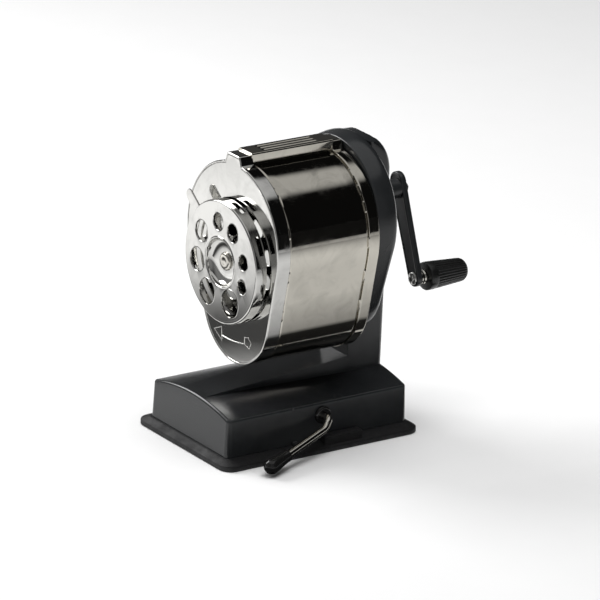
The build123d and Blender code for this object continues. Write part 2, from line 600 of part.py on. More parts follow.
def make_cutter_carrier():
    """Die-cast head: rear disc on the shaft, two arms, front bar and pencil guide."""
    disc_y = GEAR_MID_Y + GEAR_WIDTH / 2 + 1.4
    head = rod(0, AXIS_Z, 13.2, disc_y, disc_y + 3.4)
    head = head + rod(0, AXIS_Z, 6.0, disc_y + 3.4, HOUSING_FRONT_Y + POCKET_DEPTH - BUSH_FLANGE_T - 0.2)
    nose_y = GEAR_MID_Y - CUTTER_START - CUTTER_LENGTH - 2.6
    bar = Circle(11.8) + SlotOverall(35, 10.5)
    head = head + slab(Pos(0, AXIS_Z) * bar, nose_y - 4.0, nose_y)
    head = head + rod(0, AXIS_Z, 9.4, nose_y - 12.0, nose_y - 4.0)
    arm = Rectangle(8.4, 3.6)
    for sign in (-1, 1):
        head = head + slab(Pos(0, AXIS_Z + sign * 8.8) * arm, nose_y - 1, disc_y + 1)
    head = head - rod(0, AXIS_Z, 7.3, nose_y - 20, nose_y + 0.5)
    head = head - rod(0, AXIS_Z, SHAFT_R, SHAFT_FRONT_Y, disc_y + 20)
    for side in (-1, 1):
        head = head - axle(side, AXLE_R)
    return head


# ---------------------------------------------------------------- crank

def crank_pose(shape):
    """Turn a shape drawn hanging straight down into the crank's resting lean."""
    return shape.rotate(Axis((0, 0, AXIS_Z), (0, -1, 0)), CRANK_ANGLE)


def make_crank_arm():
    """Pressed steel bar, wider at the shaft end and running a little past it."""
    outline = egg(AXIS_Z + ARM_BEYOND_AXIS, AXIS_Z - CRANK_LENGTH, ARM_TOP_R, ARM_LOW_R)
    arm = slab(outline, ARM_FRONT_Y, ARM_FRONT_Y + ARM_T)
    faces = arm.faces().sort_by(Axis.Y)
    arm = fillet(faces[0].edges() + faces[-1].edges(), ARM_EDGE_R)
    arm = arm - rod(0, AXIS_Z, SHAFT_R, 0, 100)
    arm = arm - rod(0, AXIS_Z - CRANK_LENGTH, HANDLE_PIN_R, 0, 100)
    return crank_pose(arm)


def make_crank_hub():
    hub = rod(0, AXIS_Z, 4.9, POST_REAR_Y + 1.2, ARM_FRONT_Y)
    return hub - rod(0, AXIS_Z, SHAFT_R, 0, 100)


def make_thrust_washer():
    return rod(0, AXIS_Z, 6.5, POST_REAR_Y + 0.2, POST_REAR_Y + 1.0) - rod(0, AXIS_Z, SHAFT_R, 0, 100)


def make_crank_shaft():
    shaft = rod(0, AXIS_Z, SHAFT_R, SHAFT_FRONT_Y, SHAFT_REAR_Y)
    return chamfer(shaft.edges().sort_by(Axis.Y)[-1], 0.6)


def make_crank_nut():
    nut = slab(Pos(0, AXIS_Z) * RegularPolygon(3.9, 6), ARM_FRONT_Y + ARM_T, ARM_FRONT_Y + ARM_T + 1.2)
    return crank_pose(nut - rod(0, AXIS_Z, SHAFT_R, 0, 100))


def knob_z():
    return AXIS_Z - CRANK_LENGTH


def make_handle_axle():
    pin = rod(0, knob_z(), HANDLE_PIN_R, ARM_FRONT_Y - 0.5, KNOB_END_Y - 5)
    head = rod(0, knob_z(), 3.1, ARM_FRONT_Y - 1.0, ARM_FRONT_Y)
    head = fillet(head.edges().sort_by(Axis.Y)[0], 0.7)
    return crank_pose(pin + head)


def make_handle_collar():
    collar = rod(0, knob_z(), 3.6, ARM_FRONT_Y + ARM_T, KNOB_START_Y - 0.25)
    return crank_pose(collar - rod(0, knob_z(), HANDLE_PIN_R, 0, 100))


def make_handle_knob():
    """Tapered grip with a plain collar, moulded ribs and a domed end."""
    length = KNOB_END_Y - KNOB_START_Y
    taper = degrees(atan2(KNOB_BIG_R - KNOB_SMALL_R, length))
    plane = Plane(origin=(0, KNOB_START_Y, knob_z()), x_dir=(-1, 0, 0), z_dir=(0, 1, 0))
    knob = extrude(plane * Circle(KNOB_BIG_R), amount=length, taper=taper)
    knob = fillet(knob.edges().filter_by(GeomType.CIRCLE).sort_by(Axis.Y)[-1], 3.2)
    knob = fillet(knob.edges().filter_by(GeomType.CIRCLE).sort_by(Axis.Y)[0], 0.9)
    grooves = []
    for rib in range(KNOB_RIBS):
        turn = 2 * pi * rib / KNOB_RIBS
        radius = KNOB_BIG_R + 0.1
        bar = Plane(
            origin=(radius * cos(turn), KNOB_START_Y + 4.2, knob_z() + radius * sin(turn)),
            z_dir=(-sin(radians(taper)) * cos(turn), cos(radians(taper)), -sin(radians(taper)) * sin(turn)))
        grooves.append(extrude(bar * Circle(0.45), amount=length))
    knob = knob - grooves
    knob = knob - rod(0, knob_z(), HANDLE_PIN_R + RUNNING, KNOB_START_Y - 1, KNOB_END_Y - 4.5)
    return crank_pose(knob)


# ---------------------------------------------------------------- write the parts

def build():
    add("stand", make_stand())
    add("suction_pad", make_suction_pad())
    add("pad_clamp", make_pad_clamp())
    add("gear_housing", make_gear_housing())
    add("housing_screws", make_housing_screws())
    add("ring_gear", make_ring_gear())
    add("shaft_bushing", make_shaft_bushing())
    add("lever_bush", make_lever_bush())
    add("vacuum_lever", make_vacuum_lever())
    add("lever_grip", make_lever_grip())
    add("lever_cam", make_lever_cam())
    add("lever_clip", make_lever_clip())
    add("lift_plate", make_lift_plate())
    add("lift_yoke", make_lift_yoke())
    add("receptacle_shell", make_receptacle_shell())
    add("front_plate", make_front_plate())
    add("rear_band", make_rear_band())
    add("seam_channel", make_seam_channel())
    add("dial_rivet", make_dial_rivet())
    add("detent_spring", make_detent_spring())
    add("selector_dial", make_selector_dial())
    add("cutter_carrier", make_cutter_carrier())
    for side, hand in ((-1, "left"), (1, "right")):
        add(f"cutter_{hand}", make_cutter(side))
        add(f"cutter_axle_{hand}", axle(side, AXLE_R))
    add("crank_shaft", make_crank_shaft())
    add("thrust_washer", make_thrust_washer())
    add("crank_hub", make_crank_hub())
    add("crank_arm", make_crank_arm())
    add("crank_nut", make_crank_nut())
    add("handle_axle", make_handle_axle())
    add("handle_collar", make_handle_collar())
    add("handle_knob", make_handle_knob())


build()
os.makedirs("parts", exist_ok=True)
for node, shape in NODES.items():
    export_step(shape, f"parts/{node}.step")
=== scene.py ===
from math import asin, cos, pi, radians, sin, sqrt

import bmesh
import bpy
import numpy as np
from mathutils import Matrix, Vector


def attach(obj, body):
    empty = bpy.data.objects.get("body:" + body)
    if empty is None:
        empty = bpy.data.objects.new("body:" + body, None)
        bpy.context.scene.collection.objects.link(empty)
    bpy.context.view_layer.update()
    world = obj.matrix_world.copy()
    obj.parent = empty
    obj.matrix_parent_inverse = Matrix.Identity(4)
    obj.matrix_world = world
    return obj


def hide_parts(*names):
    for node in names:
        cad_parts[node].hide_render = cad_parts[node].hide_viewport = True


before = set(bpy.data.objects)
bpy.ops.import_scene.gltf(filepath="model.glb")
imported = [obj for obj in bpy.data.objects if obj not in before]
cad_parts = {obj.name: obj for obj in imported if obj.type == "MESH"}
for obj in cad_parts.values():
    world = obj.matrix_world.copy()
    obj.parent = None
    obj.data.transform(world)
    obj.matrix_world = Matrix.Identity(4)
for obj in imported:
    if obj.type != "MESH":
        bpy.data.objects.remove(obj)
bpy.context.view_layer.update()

# ---- dimensions (mm)

MM = 0.001
AXIS_Z = 112.0
TWIST = radians(8.5)

# egg outlines: top circle's height, low circle's height, top radius, low radius
EGG = (101.9, 68.5, 38.1, 27.1)
HOUSING = (107.0, 75.8, 37.4, 28.4)

BAND_RAISE = 0.45
SHEET_T = 1.0
PLATE_Y = -32.8
PLATE_FACE_Y = PLATE_Y + 0.35
PLATE_HOLE_R = 8.0
FRONT_BAND_END = -25.3
REAR_BAND_START = 20.3
RECEPTACLE_REAR_Y = 26.4
CREST_TOP_Z = 144.4
CREST_HALF_W = 5.3
CHANNEL_TOP_Z = 145.4
CHANNEL_SIDE_Z = 140.5
CHANNEL_FOOT_Z = 138.6
CHANNEL_HALF_W = 5.7
CHANNEL_EDGE_R = 0.9
GROOVE_XS = (-2.9, 0.0, 2.9)
GROOVE_HALF_W = 0.75
GROOVE_DEPTH = 0.42
GROOVE_START_Y = -18.5
GROOVE_END_Y = 13.5
ARROW_BOW_R = 60.2
TAB_HALF_LENGTH = 3.1

DIAL_FACE_Y = -40.0
DIAL_R = 30.2
DIAL_END_Y = -33.8
SLOT_Y = -35.7
SLOT_HALF_H = 1.3
SLOT_HALF_ANGLE = radians(10.5)
HOLE_CIRCLE_R = 19.8
LARGE_HOLE_CIRCLE_R = 20.3
LARGE_HOLE_OVER = 12.0
DIAL_X = HOLE_CIRCLE_R * sin(TWIST)
DIAL_Z = AXIS_Z - HOLE_CIRCLE_R * cos(TWIST)
# angle round the dial in degrees, diameter
DIAL_HOLES = ((90, 8.4), (53, 9.0), (8, 7.6), (-28, 7.2),
              (-71, 14.0), (-128, 12.8), (-176, 11.6), (138, 10.4))
RIVET_TOP_Y = -37.9

HOUSING_FRONT_Y = 26.9
HOUSING_RIM_Y = 37.4
HOUSING_REAR_Y = 41.0
POCKET_FLOOR_Y = HOUSING_FRONT_Y + 8.6
HOUSING_BORE_R = 5.0
POST_TOP_R = HOUSING[2] + 0.5
POST_FROM_Y = 37.0
POST_FROM_Z = 125.0

CRANK_LEAN = radians(22.2)
CRANK_LENGTH = 44.4
ARM_FRONT_Y = 64.3
ARM_BACK_Y = 67.5
PIN_R = 2.2
PIN_END_Y = 90.1
KNOB_X = CRANK_LENGTH * sin(CRANK_LEAN)
KNOB_Z = AXIS_Z - CRANK_LENGTH * cos(CRANK_LEAN)
KNOB_START_Y = 71.1
KNOB_END_Y = 95.1
KNOB_BORE_R = 2.25
KNOB_RIBS = 28
RIB_DEPTH = 0.42

LEVER_Y = 2.2
LEVER_Z = 17.3
LEVER_R = 2.0
LEVER_BEND_R = 2.6
LEVER_INNER_X = -28.5
LEVER_CORNER_X = 38.9
LEVER_ELBOW = Vector((40.4, -0.8, 13.2))
LEVER_TIP = Vector((52.4, -42.9, 4.15))
GRIP_LENGTH = 16.0
GRIP_R = 3.8


# ---- mesh helpers

class Shape:
    """Vertices in millimetres and the faces between them."""

    def __init__(self):
        self.verts = []
        self.faces = []

    def ring(self, points):
        first = len(self.verts)
        self.verts.extend(tuple(float(c) for c in p) for p in points)
        return list(range(first, len(self.verts)))

    def circle(self, x, z, radius, y, count):
        return self.ring(circle_points(x, z, radius, y, count))

    def bridge(self, a, b, closed=True):
        count = len(a)
        for i in range(count if closed else count - 1):
            j = (i + 1) % count
            self.faces.append((a[i], a[j], b[j], b[i]))

    def loft(self, rings, closed=True, joined=False):
        made = [self.ring(r) for r in rings]
        for a, b in zip(made, made[1:]):
            self.bridge(a, b, closed)
        if joined:
            self.bridge(made[-1], made[0], closed)
        return made

    def cap(self, rings):
        """One flat face on the first ring and one on the last."""
        self.faces.append(tuple(rings[0]))
        self.faces.append(tuple(rings[-1]))

    def fan(self, ring, centre):
        hub = self.ring([centre])[0]
        for i in range(len(ring)):
            self.faces.append((ring[i], ring[(i + 1) % len(ring)], hub))

    def fill(self, loops):
        """Flat triangles between an outer loop and the hole loops inside it."""
        bm = bmesh.new()
        edges = []
        index_of = {}
        for loop in loops:
            made = []
            for index in loop:
                vert = bm.verts.new(self.verts[index])
                index_of[vert] = index
                made.append(vert)
            for i, vert in enumerate(made):
                edges.append(bm.edges.new((vert, made[(i + 1) % len(made)])))
        bmesh.ops.triangle_fill(bm, use_beauty=True, edges=edges)
        for face in bm.faces:
            self.faces.append(tuple(index_of[v] for v in face.verts))
        bm.free()

    def add(self, other):
        shift = len(self.verts)
        self.verts.extend(other.verts)
        self.faces.extend(tuple(i + shift for i in face) for face in other.faces)

    def move(self, matrix):
        self.verts = [tuple(matrix @ Vector(v)) for v in self.verts]
        return self


def circle_points(x, z, radius, y, count):
    """Evenly spaced points of a circle round an axis along Y."""
    turns = [2 * pi * i / count for i in range(count)]
    return [(x + radius * cos(t), y, z + radius * sin(t)) for t in turns]


def new_object(name, data):
    obj = bpy.data.objects.new(name, data)
    bpy.context.scene.collection.objects.link(obj)
    return obj


def mesh_object(name, shape, sharp=40.0):
    mesh = bpy.data.meshes.new(name)
    mesh.from_pydata([(x * MM, y * MM, z * MM) for x, y, z in shape.verts], [], shape.faces)
    bm = bmesh.new()
    bm.from_mesh(mesh)
    bmesh.ops.remove_doubles(bm, verts=bm.verts, dist=2e-7)
    bmesh.ops.dissolve_degenerate(bm, edges=bm.edges, dist=1e-7)
    bmesh.ops.recalc_face_normals(bm, faces=bm.faces)
    bm.to_mesh(mesh)
    bm.free()
    mesh.polygons.foreach_set("use_smooth", [True] * len(mesh.polygons))
    mesh.set_sharp_from_angle(angle=radians(sharp))
    return new_object(name, mesh)


def piece(name, shape, look, body, stands_for=(), sharp=40.0, weighted=True):
    """A visible piece of the object: its mesh, its material, the body it rides on."""
    obj = mesh_object(name, shape, sharp)
    obj.data.materials.append(look)
    if weighted:
        modifier = obj.modifiers.new("normals", "WEIGHTED_NORMAL")
        modifier.keep_sharp = True
    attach(obj, body)
    if stands_for:
        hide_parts(*stands_for)


def arc(centre_a, centre_b, radius, start, end, steps):
    """Points of a circular arc in a profile plane, angles in degrees."""
    turns = [radians(start + (end - start) * i / steps) for i in range(steps + 1)]
    return [(centre_a + radius * cos(t), centre_b + radius * sin(t)) for t in turns]


def turned(profile, axis_x, axis_z, count=96):
    """Rings round an axis along Y, from a profile of (radius, y)."""
    return [circle_points(axis_x, axis_z, radius, y, count) for radius, y in profile]


def lathe(profile, axis_x, axis_z, count=96):
    """Solid of revolution about an axis along Y, closed at both ends by flat fans."""
    shape = Shape()
    made = shape.loft(turned(profile, axis_x, axis_z, count))
    shape.fan(made[0], (axis_x, profile[0][1], axis_z))
    shape.fan(made[-1], (axis_x, profile[-1][1], axis_z))
    return shape


def rotated(x, z, angle):
    """Turn a point about the working axis, counter-clockwise seen from the pencil side."""
    dz = z - AXIS_Z
    return (x * cos(angle) - dz * sin(angle), AXIS_Z + x * sin(angle) + dz * cos(angle))


def soft_max(a, b, width):
    return 0.5 * (a + b + sqrt((a - b) ** 2 + width ** 2))


def between(a, b, f):
    return (a[0] * (1 - f) + b[0] * f, a[1] * (1 - f) + b[1] * f)


def egg_outline(egg, offset=0.0, twist=0.0, crest=None):
    """Two stacked circles joined by tangents, as evenly spaced (x, z).

    The crest is (top z, half width): the upright trapezoid that rises out of the outline.
    """
    top_z, low_z, top_r, low_r = egg
    slope = asin((top_r - low_r) / (top_z - low_z))
    upper = np.linspace(-slope, pi + slope, 380)
    lower = np.linspace(pi + slope, 2 * pi - slope, 170)
    points = [((top_r + offset) * cos(t), top_z + (top_r + offset) * sin(t)) for t in upper]
    low = [((low_r + offset) * cos(t), low_z + (low_r + offset) * sin(t)) for t in lower]
    sides = [[between(a, b, f) for f in np.linspace(0, 1, 60)[1:-1]]
             for a, b in ((points[-1], low[0]), (low[-1], points[0]))]
    points = points + sides[0] + low + sides[1]
    if twist:
        points = [rotated(x, z, twist) for x, z in points]
    if crest:
        crest_z, half_w = crest
        lifted = []
        for x, z in points:
            if z > AXIS_Z + 10:
                beyond = soft_max(abs(x) - half_w, 0.0, 0.35)
                z = soft_max(z, crest_z + 0.15 - beyond * 3.2, 0.5)
            lifted.append((x, z))
        points = lifted
    return points


def at_y(points, y):
    return [(x, y, z) for x, z in points]


def smooth_path(points, radius, steps=10):
    """Polyline with each inner corner replaced by a round bend."""
    path = [Vector(points[0])]
    for before, corner, after in zip(points, points[1:], points[2:]):
        before, corner, after = Vector(before), Vector(corner), Vector(after)
        start = corner + (before - corner).normalized() * radius
        end = corner + (after - corner).normalized() * radius
        for i in range(steps + 1):
            f = i / steps
            path.append(start * (1 - f) ** 2 + corner * 2 * f * (1 - f) + end * f * f)
    path.append(Vector(points[-1]))
    return path


def tube(path, radii, count=32):
    """Round bar that follows a path without twisting."""
    shape = Shape()
    rings = []
    side = None
    for i, point in enumerate(path):
        ahead = path[min(i + 1, len(path) - 1)]
        behind = path[max(i - 1, 0)]
        along = (ahead - behind).normalized()
        if side is None:
            side = along.cross(Vector((0, 0, 1)))
            if side.length < 0.1:
                side = along.cross(Vector((0, 1, 0)))
        side = (side - along * side.dot(along)).normalized()
        up = along.cross(side)
        radius = radii[i] if isinstance(radii, list) else radii
        rings.append([point + side * radius * cos(2 * pi * k / count) + up * radius * sin(2 * pi * k / count)
                      for k in range(count)])
    made = shape.loft(rings)
    shape.fan(made[0], path[0])
    shape.fan(made[-1], path[-1])
    return shape


def rounded_rectangle(half_w, half_l, radius, steps=10, straight=24):
    """Counter-clockwise outline as (x, y)."""
    points = []
    x, y = half_w - radius, half_l - radius
    for centre_x, centre_y, start in ((x, y, 0), (-x, y, 90), (-x, -y, 180), (x, -y, 270)):
        points += arc(centre_x, centre_y, radius, start, start + 90, steps)
    dense = []
    for a, b in zip(points, points[1:] + points[:1]):
        dense.append(a)
        if (Vector(b) - Vector(a)).length > 4 * radius * pi / 2 / steps:
            dense += [between(a, b, i / straight) for i in range(1, straight)]
    return dense


# ---- materials

class Nodes:
    """Short way to wire a material or the world."""

    def __init__(self, owner, shader="Principled BSDF", coords="Object"):
        self.owner = owner
        owner.use_nodes = True
        self.tree = owner.node_tree
        self.shader = self.tree.nodes[shader]
        self.coords = self.new("ShaderNodeTexCoord").outputs[coords]

    def new(self, kind, **settings):
        node = self.tree.nodes.new(kind)
        for key, value in settings.items():
            setattr(node, key, value)
        return node

    def link(self, a, b):
        self.tree.links.new(a, b)

    def stretched(self, scale):
        node = self.new("ShaderNodeMapping")
        node.inputs["Scale"].default_value = scale
        self.link(self.coords, node.inputs["Vector"])
        return node.outputs["Vector"]

    def noise(self, scale, detail=3.0, roughness=0.55, vector=None, distortion=0.0):
        node = self.new("ShaderNodeTexNoise")
        settings = {"Scale": scale, "Detail": detail, "Roughness": roughness, "Distortion": distortion}
        for key, number in settings.items():
            node.inputs[key].default_value = number
        self.link(vector or self.coords, node.inputs["Vector"])
        return node.outputs["Fac"]

    def cells(self, scale):
        node = self.new("ShaderNodeTexVoronoi")
        node.inputs["Scale"].default_value = scale
        self.link(self.coords, node.inputs["Vector"])
        return node.outputs["Distance"]

    def ramp(self, value, stops):
        node = self.new("ShaderNodeValToRGB")
        elements = node.color_ramp.elements
        while len(elements) < len(stops):
            elements.new(0.5)
        for element, (position, colour) in zip(elements, stops):
            element.position = position
            element.color = (*colour, 1.0) if isinstance(colour, tuple) else (colour, colour, colour, 1.0)
        self.link(value, node.inputs["Fac"])
        return node.outputs["Color"]

    def toward(self, direction):
        """How far the coordinates reach along a direction."""
        node = self.new("ShaderNodeVectorMath", operation="DOT_PRODUCT")
        node.inputs[1].default_value = direction
        self.link(self.coords, node.inputs[0])
        return node.outputs["Value"]

    def span(self, value, low, high, to_low, to_high, curve="LINEAR"):
        node = self.new("ShaderNodeMapRange", interpolation_type=curve)
        for index, number in enumerate((low, high, to_low, to_high), 1):
            node.inputs[index].default_value = number
        self.link(value, node.inputs[0])
        return node.outputs[0]

    def math(self, operation, a, b):
        node = self.new("ShaderNodeMath", operation=operation)
        for index, value in enumerate((a, b)):
            if isinstance(value, (int, float)):
                node.inputs[index].default_value = value
            else:
                self.link(value, node.inputs[index])
        return node.outputs[0]

    def mix(self, factor, a, b):
        node = self.new("ShaderNodeMix", data_type="RGBA")
        self.link(factor, node.inputs[0])
        for index, value in ((6, a), (7, b)):
            if isinstance(value, tuple):
                node.inputs[index].default_value = (*value, 1.0)
            else:
                self.link(value, node.inputs[index])
        return node.outputs[2]

    def bump(self, height, distance, strength=1.0, below=None):
        node = self.new("ShaderNodeBump")
        node.inputs["Distance"].default_value = distance
        node.inputs["Strength"].default_value = strength
        self.link(height, node.inputs["Height"])
        if below is not None:
            self.link(below, node.inputs["Normal"])
        return node.outputs["Normal"]

    def set(self, **values):
        for key, value in values.items():
            socket = self.shader.inputs[key.replace("_", " ")]
            if isinstance(value, tuple):
                socket.default_value = (*value, 1.0)
            elif isinstance(value, (int, float)):
                socket.default_value = value
            else:
                self.link(value, socket)
        return self.owner


def look_nodes(name):
    return Nodes(bpy.data.materials.new(name))


def nickel_look(name, tint, wave=0.00002, smudge=0.10):
    """Bright nickel plate: faint waviness of the sheet, hairlines, smudges and a few pits."""
    n = look_nodes(name)
    broad = n.noise(34.0, 2.0)
    smears = n.noise(95.0, 5.0, 0.62, distortion=0.8)
    hair = n.noise(900.0, 3.0, 0.6, vector=n.stretched((0.12, 1.0, 1.0)))
    pits = n.cells(420.0)
    pitted = n.ramp(pits, ((0.0, 1.0), (0.045, 0.0)))
    dull = n.ramp(smears, ((0.46, 0.0), (0.74, 1.0)))
    clean = tuple(c * 1.04 for c in tint)
    worn = tuple(c * 0.86 for c in tint)
    colour = n.mix(dull, clean, worn)
    colour = n.mix(n.math("MULTIPLY", pitted, 0.35), colour, (0.2, 0.17, 0.14))
    rough = n.span(dull, 0.0, 1.0, 0.035, 0.035 + smudge)
    rough = n.math("ADD", rough, n.span(hair, 0.35, 0.75, 0.0, 0.03))
    wavy = n.bump(broad, wave)
    fine = n.bump(hair, 0.0000012, below=wavy)
    fine = n.bump(pitted, -0.000008, 0.5, below=fine)
    return n.set(Base_Color=colour, Metallic=1.0, Roughness=rough, Normal=fine)


def enamel_look(name, base=0.014, gloss=0.13, peel=0.000005):
    """Black stove enamel over a casting: orange peel, dust specks, rubbed patches."""
    n = look_nodes(name)
    patches = n.noise(28.0, 4.0, 0.6)
    skin = n.noise(620.0, 2.0, 0.5)
    grit = n.noise(2600.0, 2.0, 0.6)
    dust = n.ramp(n.cells(760.0), ((0.0, 1.0), (0.05, 0.0)))
    dusty = n.math("MULTIPLY", dust, n.ramp(n.noise(60.0, 3.0), ((0.52, 0.0), (0.66, 1.0))))
    deep = (base, base * 1.1, base * 1.18)
    rubbed = (base * 1.6, base * 1.7, base * 1.8)
    tone = n.mix(n.ramp(patches, ((0.35, 0.0), (0.7, 1.0))), deep, rubbed)
    colour = n.mix(n.math("MULTIPLY", dusty, 0.5), tone, (0.18, 0.175, 0.165))
    rough = n.span(patches, 0.3, 0.75, gloss, gloss + 0.14)
    rough = n.math("ADD", rough, n.math("MULTIPLY", dusty, 0.25))
    normal = n.bump(skin, peel)
    normal = n.bump(grit, 0.0000012, below=normal)
    return n.set(Base_Color=colour, Roughness=rough, IOR=1.5, Normal=normal)


def rubber_look(name):
    """Matt black rubber with pale dust in its pores."""
    n = look_nodes(name)
    pores = n.cells(1500.0)
    cloud = n.noise(120.0, 4.0, 0.6)
    grain = n.noise(2400.0, 3.0, 0.65)
    high_grain = n.ramp(grain, ((0.56, 0.0), (0.66, 1.0)))
    speck = n.math("MULTIPLY", high_grain, n.ramp(cloud, ((0.4, 0.25), (0.65, 1.0))))
    colour = n.mix(speck, (0.007, 0.007, 0.0075), (0.05, 0.05, 0.052))
    rough = n.span(cloud, 0.3, 0.7, 0.5, 0.8)
    normal = n.bump(grain, 0.00006, 0.8)
    normal = n.bump(pores, 0.00005, 0.5, below=normal)
    return n.set(Base_Color=colour, Roughness=rough, IOR=1.5, Normal=normal)


def plastic_look(name, rough_low, rough_high, grain_depth=0.00001):
    """Black moulded plastic: fine grain, cloudy sheen."""
    n = look_nodes(name)
    base = 0.006
    cloud = n.noise(150.0, 4.0, 0.6)
    grain = n.noise(1700.0, 3.0, 0.6)
    colour = n.mix(cloud, (base, base, base), (base * 2.0, base * 2.0, base * 1.95))
    rough = n.span(cloud, 0.3, 0.7, rough_low, rough_high)
    normal = n.bump(grain, grain_depth)
    return n.set(Base_Color=colour, Roughness=rough, IOR=1.48, Normal=normal)


def steel_look(name, tint, rough_low, rough_high, stain=0.4):
    """Plain steel: brushed grain, stains and a duller film in patches."""
    n = look_nodes(name)
    film = n.noise(160.0, 5.0, 0.62)
    brushed = n.noise(1400.0, 3.0, 0.6, vector=n.stretched((0.15, 1.0, 1.0)))
    dull = n.ramp(film, ((0.42, 0.0), (0.72, 1.0)))
    colour = n.mix(n.math("MULTIPLY", dull, stain), tint, tuple(c * 0.45 for c in tint))
    rough = n.span(film, 0.3, 0.7, rough_low, rough_high)
    normal = n.bump(brushed, 0.000006)
    return n.set(Base_Color=colour, Metallic=1.0, Roughness=rough, Normal=normal)


def cast_look(name, tint):
    """Raw die casting: low lumps under a fine grain."""
    n = look_nodes(name)
    lumps = n.noise(260.0, 4.0, 0.6)
    grain = n.noise(1900.0, 2.0, 0.6)
    colour = n.mix(lumps, tuple(c * 0.75 for c in tint), tint)
    rough = n.span(lumps, 0.3, 0.7, 0.32, 0.5)
    normal = n.bump(lumps, 0.00005, 0.6)
    normal = n.bump(grain, 0.00002, 0.6, below=normal)
    return n.set(Base_Color=colour, Metallic=1.0, Roughness=rough, Normal=normal)


NICKEL = nickel_look("nickel_sheet", tint=(0.545, 0.522, 0.466))
PLATE_NICKEL = nickel_look("nickel_plate", wave=0.00003, smudge=0.12, tint=(0.60, 0.595, 0.575))
NICKEL_SMALL = nickel_look("nickel_small", wave=0.000004, smudge=0.14, tint=(0.62, 0.60, 0.55))
ENAMEL = enamel_look("black_enamel")
ENAMEL_ARM = enamel_look("black_enamel_arm", base=0.013, gloss=0.22, peel=0.00001)
RUBBER = rubber_look("base_rubber")
KNOB_BLACK = plastic_look("knob_plastic", 0.26, 0.42)
VINYL = plastic_look("grip_vinyl", 0.08, 0.16, grain_depth=0.000002)
STEEL = steel_look("zinc_steel", (0.60, 0.60, 0.58), 0.22, 0.4)
DARK_STEEL = steel_look("dark_steel", (0.05, 0.05, 0.05), 0.3, 0.5)
TOOL_STEEL = steel_look("tool_steel", (0.40, 0.39, 0.37), 0.25, 0.42, stain=0.7)
BRONZE = steel_look("bronze", (0.62, 0.42, 0.22), 0.28, 0.45)
ALLOY = cast_look("cast_alloy", (0.55, 0.55, 0.56))


# ---- receptacle

def receptacle_ring(offset, y, crest=None):
    return at_y(egg_outline(EGG, offset, TWIST, crest), y)


def crest_at(inset):
    return (CREST_TOP_Z - inset, CREST_HALF_W - 0.45 * inset)


def make_front_plate():
    """End cap: flat face, fine rolled edge, and the band behind it."""
    profile = [(-1.55, PLATE_FACE_Y), (-1.3, PLATE_Y + 0.28), (-1.1, PLATE_Y + 0.1)]
    profile += arc(-0.75, PLATE_Y + 0.75, 0.75, -115, 0, 9)
    profile += [(0.0, PLATE_Y + 2.5), (0.0, -28.5), (0.0, FRONT_BAND_END - 0.35)]
    profile += arc(-0.3, FRONT_BAND_END - 0.3, 0.3, 10, 90, 4)
    profile += [(-0.47, FRONT_BAND_END), (-1.3, FRONT_BAND_END), (-1.3, PLATE_Y + 1.6),
                (-1.6, PLATE_FACE_Y + SHEET_T)]
    shape = Shape()
    made = shape.loft([receptacle_ring(BAND_RAISE + o, y, crest_at(-o)) for o, y in profile])
    hole = [shape.circle(0, AXIS_Z, PLATE_HOLE_R, y, 64) for y in (PLATE_FACE_Y, PLATE_FACE_Y + SHEET_T)]
    shape.bridge(hole[0], hole[1])
    shape.fill([made[0], hole[0]])
    shape.fill([made[-1], hole[1]])
    shape.add(curved_arrow())
    piece("front_plate_skin", shape, PLATE_NICKEL, "receptacle", ("front_plate",), sharp=50)


def raised_line(points):
    """Low rounded ridge along points (x, z) on the plate's face."""
    half_w, height = 0.32, 0.22
    shape = Shape()
    rings = []
    for i, point in enumerate(points):
        ahead = Vector(points[min(i + 1, len(points) - 1)])
        behind = Vector(points[max(i - 1, 0)])
        along = (ahead - behind).normalized()
        across = Vector((-along.y, along.x))
        ring = []
        for k in range(7):
            t = pi * k / 6
            offset = across * half_w * cos(t)
            ring.append((point[0] + offset.x, PLATE_FACE_Y + 0.03 - height * sin(t), point[1] + offset.y))
        rings.append(ring)
    made = shape.loft(rings, closed=False)
    shape.cap(made)
    shape.bridge([r[0] for r in made], [r[-1] for r in made], closed=False)
    return shape


def curved_arrow():
    """Generic turning arrow pressed into the foot of the plate."""
    shape = Shape()
    turns = [radians(a) for a in np.linspace(-4.0, 14.5, 30)]
    bow = [(ARROW_BOW_R * sin(t), AXIS_Z - ARROW_BOW_R * cos(t)) for t in turns]
    neck, point = (-4.2, 51.9), (-10.6, 53.4)
    low_barb, high_barb = (-3.6, 49.3), (-4.6, 56.2)
    tail = [(15.2, 53.6), (14.8, 56.9), (18.2, 57.8), (20.4, 55.6), (19.2, 52.4), (15.2, 53.6)]
    for line in (bow, [neck, low_barb, point], [point, high_barb, neck], tail):
        shape.add(raised_line(line))
    return shape


def make_shell():
    """Rolled drum wall that dives a little under the band at each end."""
    shape = Shape()
    # distance from the band's edge, and how far the sheet lies below the drum there
    dive = ((-0.8, 0.9), (0.12, 0.88), (0.3, 0.6), (0.55, 0.24), (0.9, 0.08), (1.5, 0.0))
    profile = [(-drop, FRONT_BAND_END + away) for away, drop in dive]
    profile += [(0.0, y) for y in np.linspace(FRONT_BAND_END + 6.0, REAR_BAND_START - 6.0, 9)]
    profile += [(-drop, REAR_BAND_START - away) for away, drop in reversed(dive)]
    profile += [(-1.5, y) for y in (REAR_BAND_START + 0.8, -2.0, FRONT_BAND_END - 0.8)]
    shape.loft([receptacle_ring(o, y) for o, y in profile], joined=True)
    piece("receptacle_drum", shape, NICKEL, "receptacle", ("receptacle_shell",), sharp=50)


